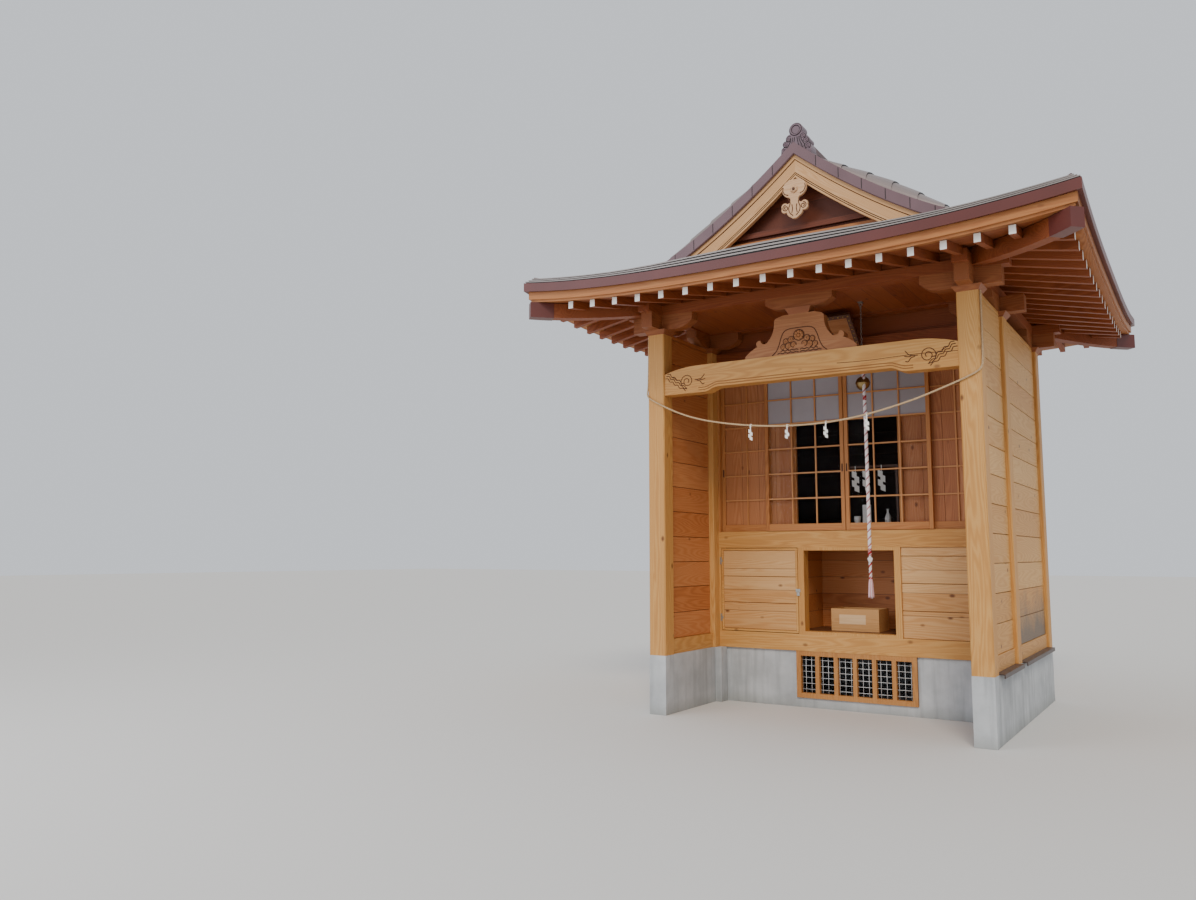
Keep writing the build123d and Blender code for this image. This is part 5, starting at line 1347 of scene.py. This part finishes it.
# Name plaque: a bare field in a dark rim with brass studs
lean = radians(50)
plaque_width, plaque_height, plaque_rim, rim_proud = 0.400, 0.440, 0.034, 0.014
plaque_foot = Vector((0.0, hall_y - 0.0003 - 0.024 * cos(lean), 2.965))
up_plaque, out_plaque = Vector((0, -sin(lean), cos(lean))), Vector((0, -cos(lean), -sin(lean)))


def on_plaque(x, up, out):
    return plaque_foot + Vector((x, 0, 0)) + up_plaque * up + out_plaque * out


stud_line = [(0.0065, -0.001), (0.0060, 0.003), (0.0035, 0.0055), (0.001, 0.006)]
stud = turned_body(stud_line, (0, 0, 0), None, 12, "y")
stud.data.transform(Matrix.Rotation(lean, 4, "X"))
stud_x, stud_foot = plaque_width / 2 - plaque_rim / 2, plaque_rim / 2
stud_head = plaque_height - plaque_rim / 2
places = [on_plaque(x, stud_foot + (plaque_height - plaque_rim) * k / 9, rim_proud)
          for k in range(10) for x in (-stud_x, stud_x)]
places += [on_plaque(-stud_x + (plaque_width - plaque_rim) * k / 9, rise, rim_proud)
           for k in range(1, 9) for rise in (stud_foot, stud_head)]
piece("plaque_studs", [stamped(places, stud, padlock_brass)], "root")
half_field = plaque_width / 2 - plaque_rim - 0.002
field_foot, field_head = plaque_rim + 0.002, plaque_height - plaque_rim - 0.002
low, high = ([[on_plaque(x, up, out) for x in (-half_field, half_field)] for up in (field_foot, field_head)]
             for out in (0.0005, 0.0035))
piece("plaque_field", [outward(shell(high, low, cedar_strut))])

# Finishes of the solids that show as they are
for material, names in (
        (cedar_upright, ("corner_posts", "middle_posts", "niche_frame")),
        (cedar_cross, ("rainbow_beam", "waist_rail", "lattice_track", "front_and_rear_sills", "altar_shelf")),
        (cedar_long, ("side_sills",)),
        (cedar_bracket_x, ("bearing_block", "boat_bracket", "bracket_arms_across", "post_capitals")),
        (cedar_bracket_y, ("bracket_arms_along",)),
        (cedar_strut, ("frog_leg_strut",)),
        (cedar_fascia_x, ("front_and_rear_fascia",)),
        (cedar_fascia_y, ("side_fascia",)),
        (cedar_eaves_x, ("cross_purlins", "transom_boards", "lattice_lintel", "side_rafters", "hip_rafters")),
        (cedar_eaves_y, ("side_purlins", "front_and_rear_rafters")),
        (cedar_soffit_x, ("soffit_boards",)),
        (cedar_soffit_y, ("ceiling_boards",)),
        (cedar_gable, ("gable_walls",)),
        (cedar_niche, ("niche_lining",)),
        (cedar_hall, ("hall_floors",)),
        (cedar_boxwood, ("offering_box",)),
        (cedar_grille, ("vent_grille",)),
        (dark_stain, ("name_plaque",)),
        (maroon_sheet, ("hip_end_caps",)),
        (ridge_sheet, ("roof_ridge",)),
        (dark_sheet, ("drip_flashing",)),
        (zinc, ("door_hardware", "hinge_frame_leaves", "bell_hook")),
        (concrete, ("foundation",))):
    for name in names:
        nodes[name].data.materials.clear()
        nodes[name].data.materials.append(material)

# Floor and light of a plain studio
# Matt pale grey paint: a quiet ground that takes a soft shadow
floor_coat, tree, shader, place = new_material("studio_floor_paint")
feed(shader, {"Base Color": linear("D8D6D2"), "Roughness": 0.9})
reach, floor_z = 60.0, -0.001
corners = ((-reach, -reach), (reach, -reach), (reach, reach), (-reach, reach))
floor = mesh_object([(x, y, floor_z) for x, y in corners], [(0, 1, 2, 3)], floor_coat)
floor.name = floor.data.name = "studio_floor"

world = bpy.data.worlds.new("studio_sky")
bpy.context.scene.world = world
world.use_nodes = True
feed(world.node_tree.nodes["Background"], {"Color": linear("E9EEF5"), "Strength": 0.95})


def lamp(name, kind, place, target, energy, size, colour):
    data = bpy.data.lights.new(name, kind)
    data.energy, data.color = energy, linear(colour)[:3]
    if kind == "AREA":
        data.shape, data.size = "SQUARE", size
    else:
        data.angle = size
    obj = linked(bpy.data.objects.new(name, data))
    obj.location = place
    obj.rotation_euler = (Vector(target) - Vector(place)).to_track_quat("-Z", "Y").to_euler()


lamp("sun_through_cloud", "SUN", (4.0, -9.0, 10.0), (0, 0, 1.5), 1.6, radians(18), "FFF4E4")
lamp("front_fill", "AREA", (-5.0, -9.0, 4.5), (0, -0.5, 1.6), 260, 5.0, "EEF3FF")
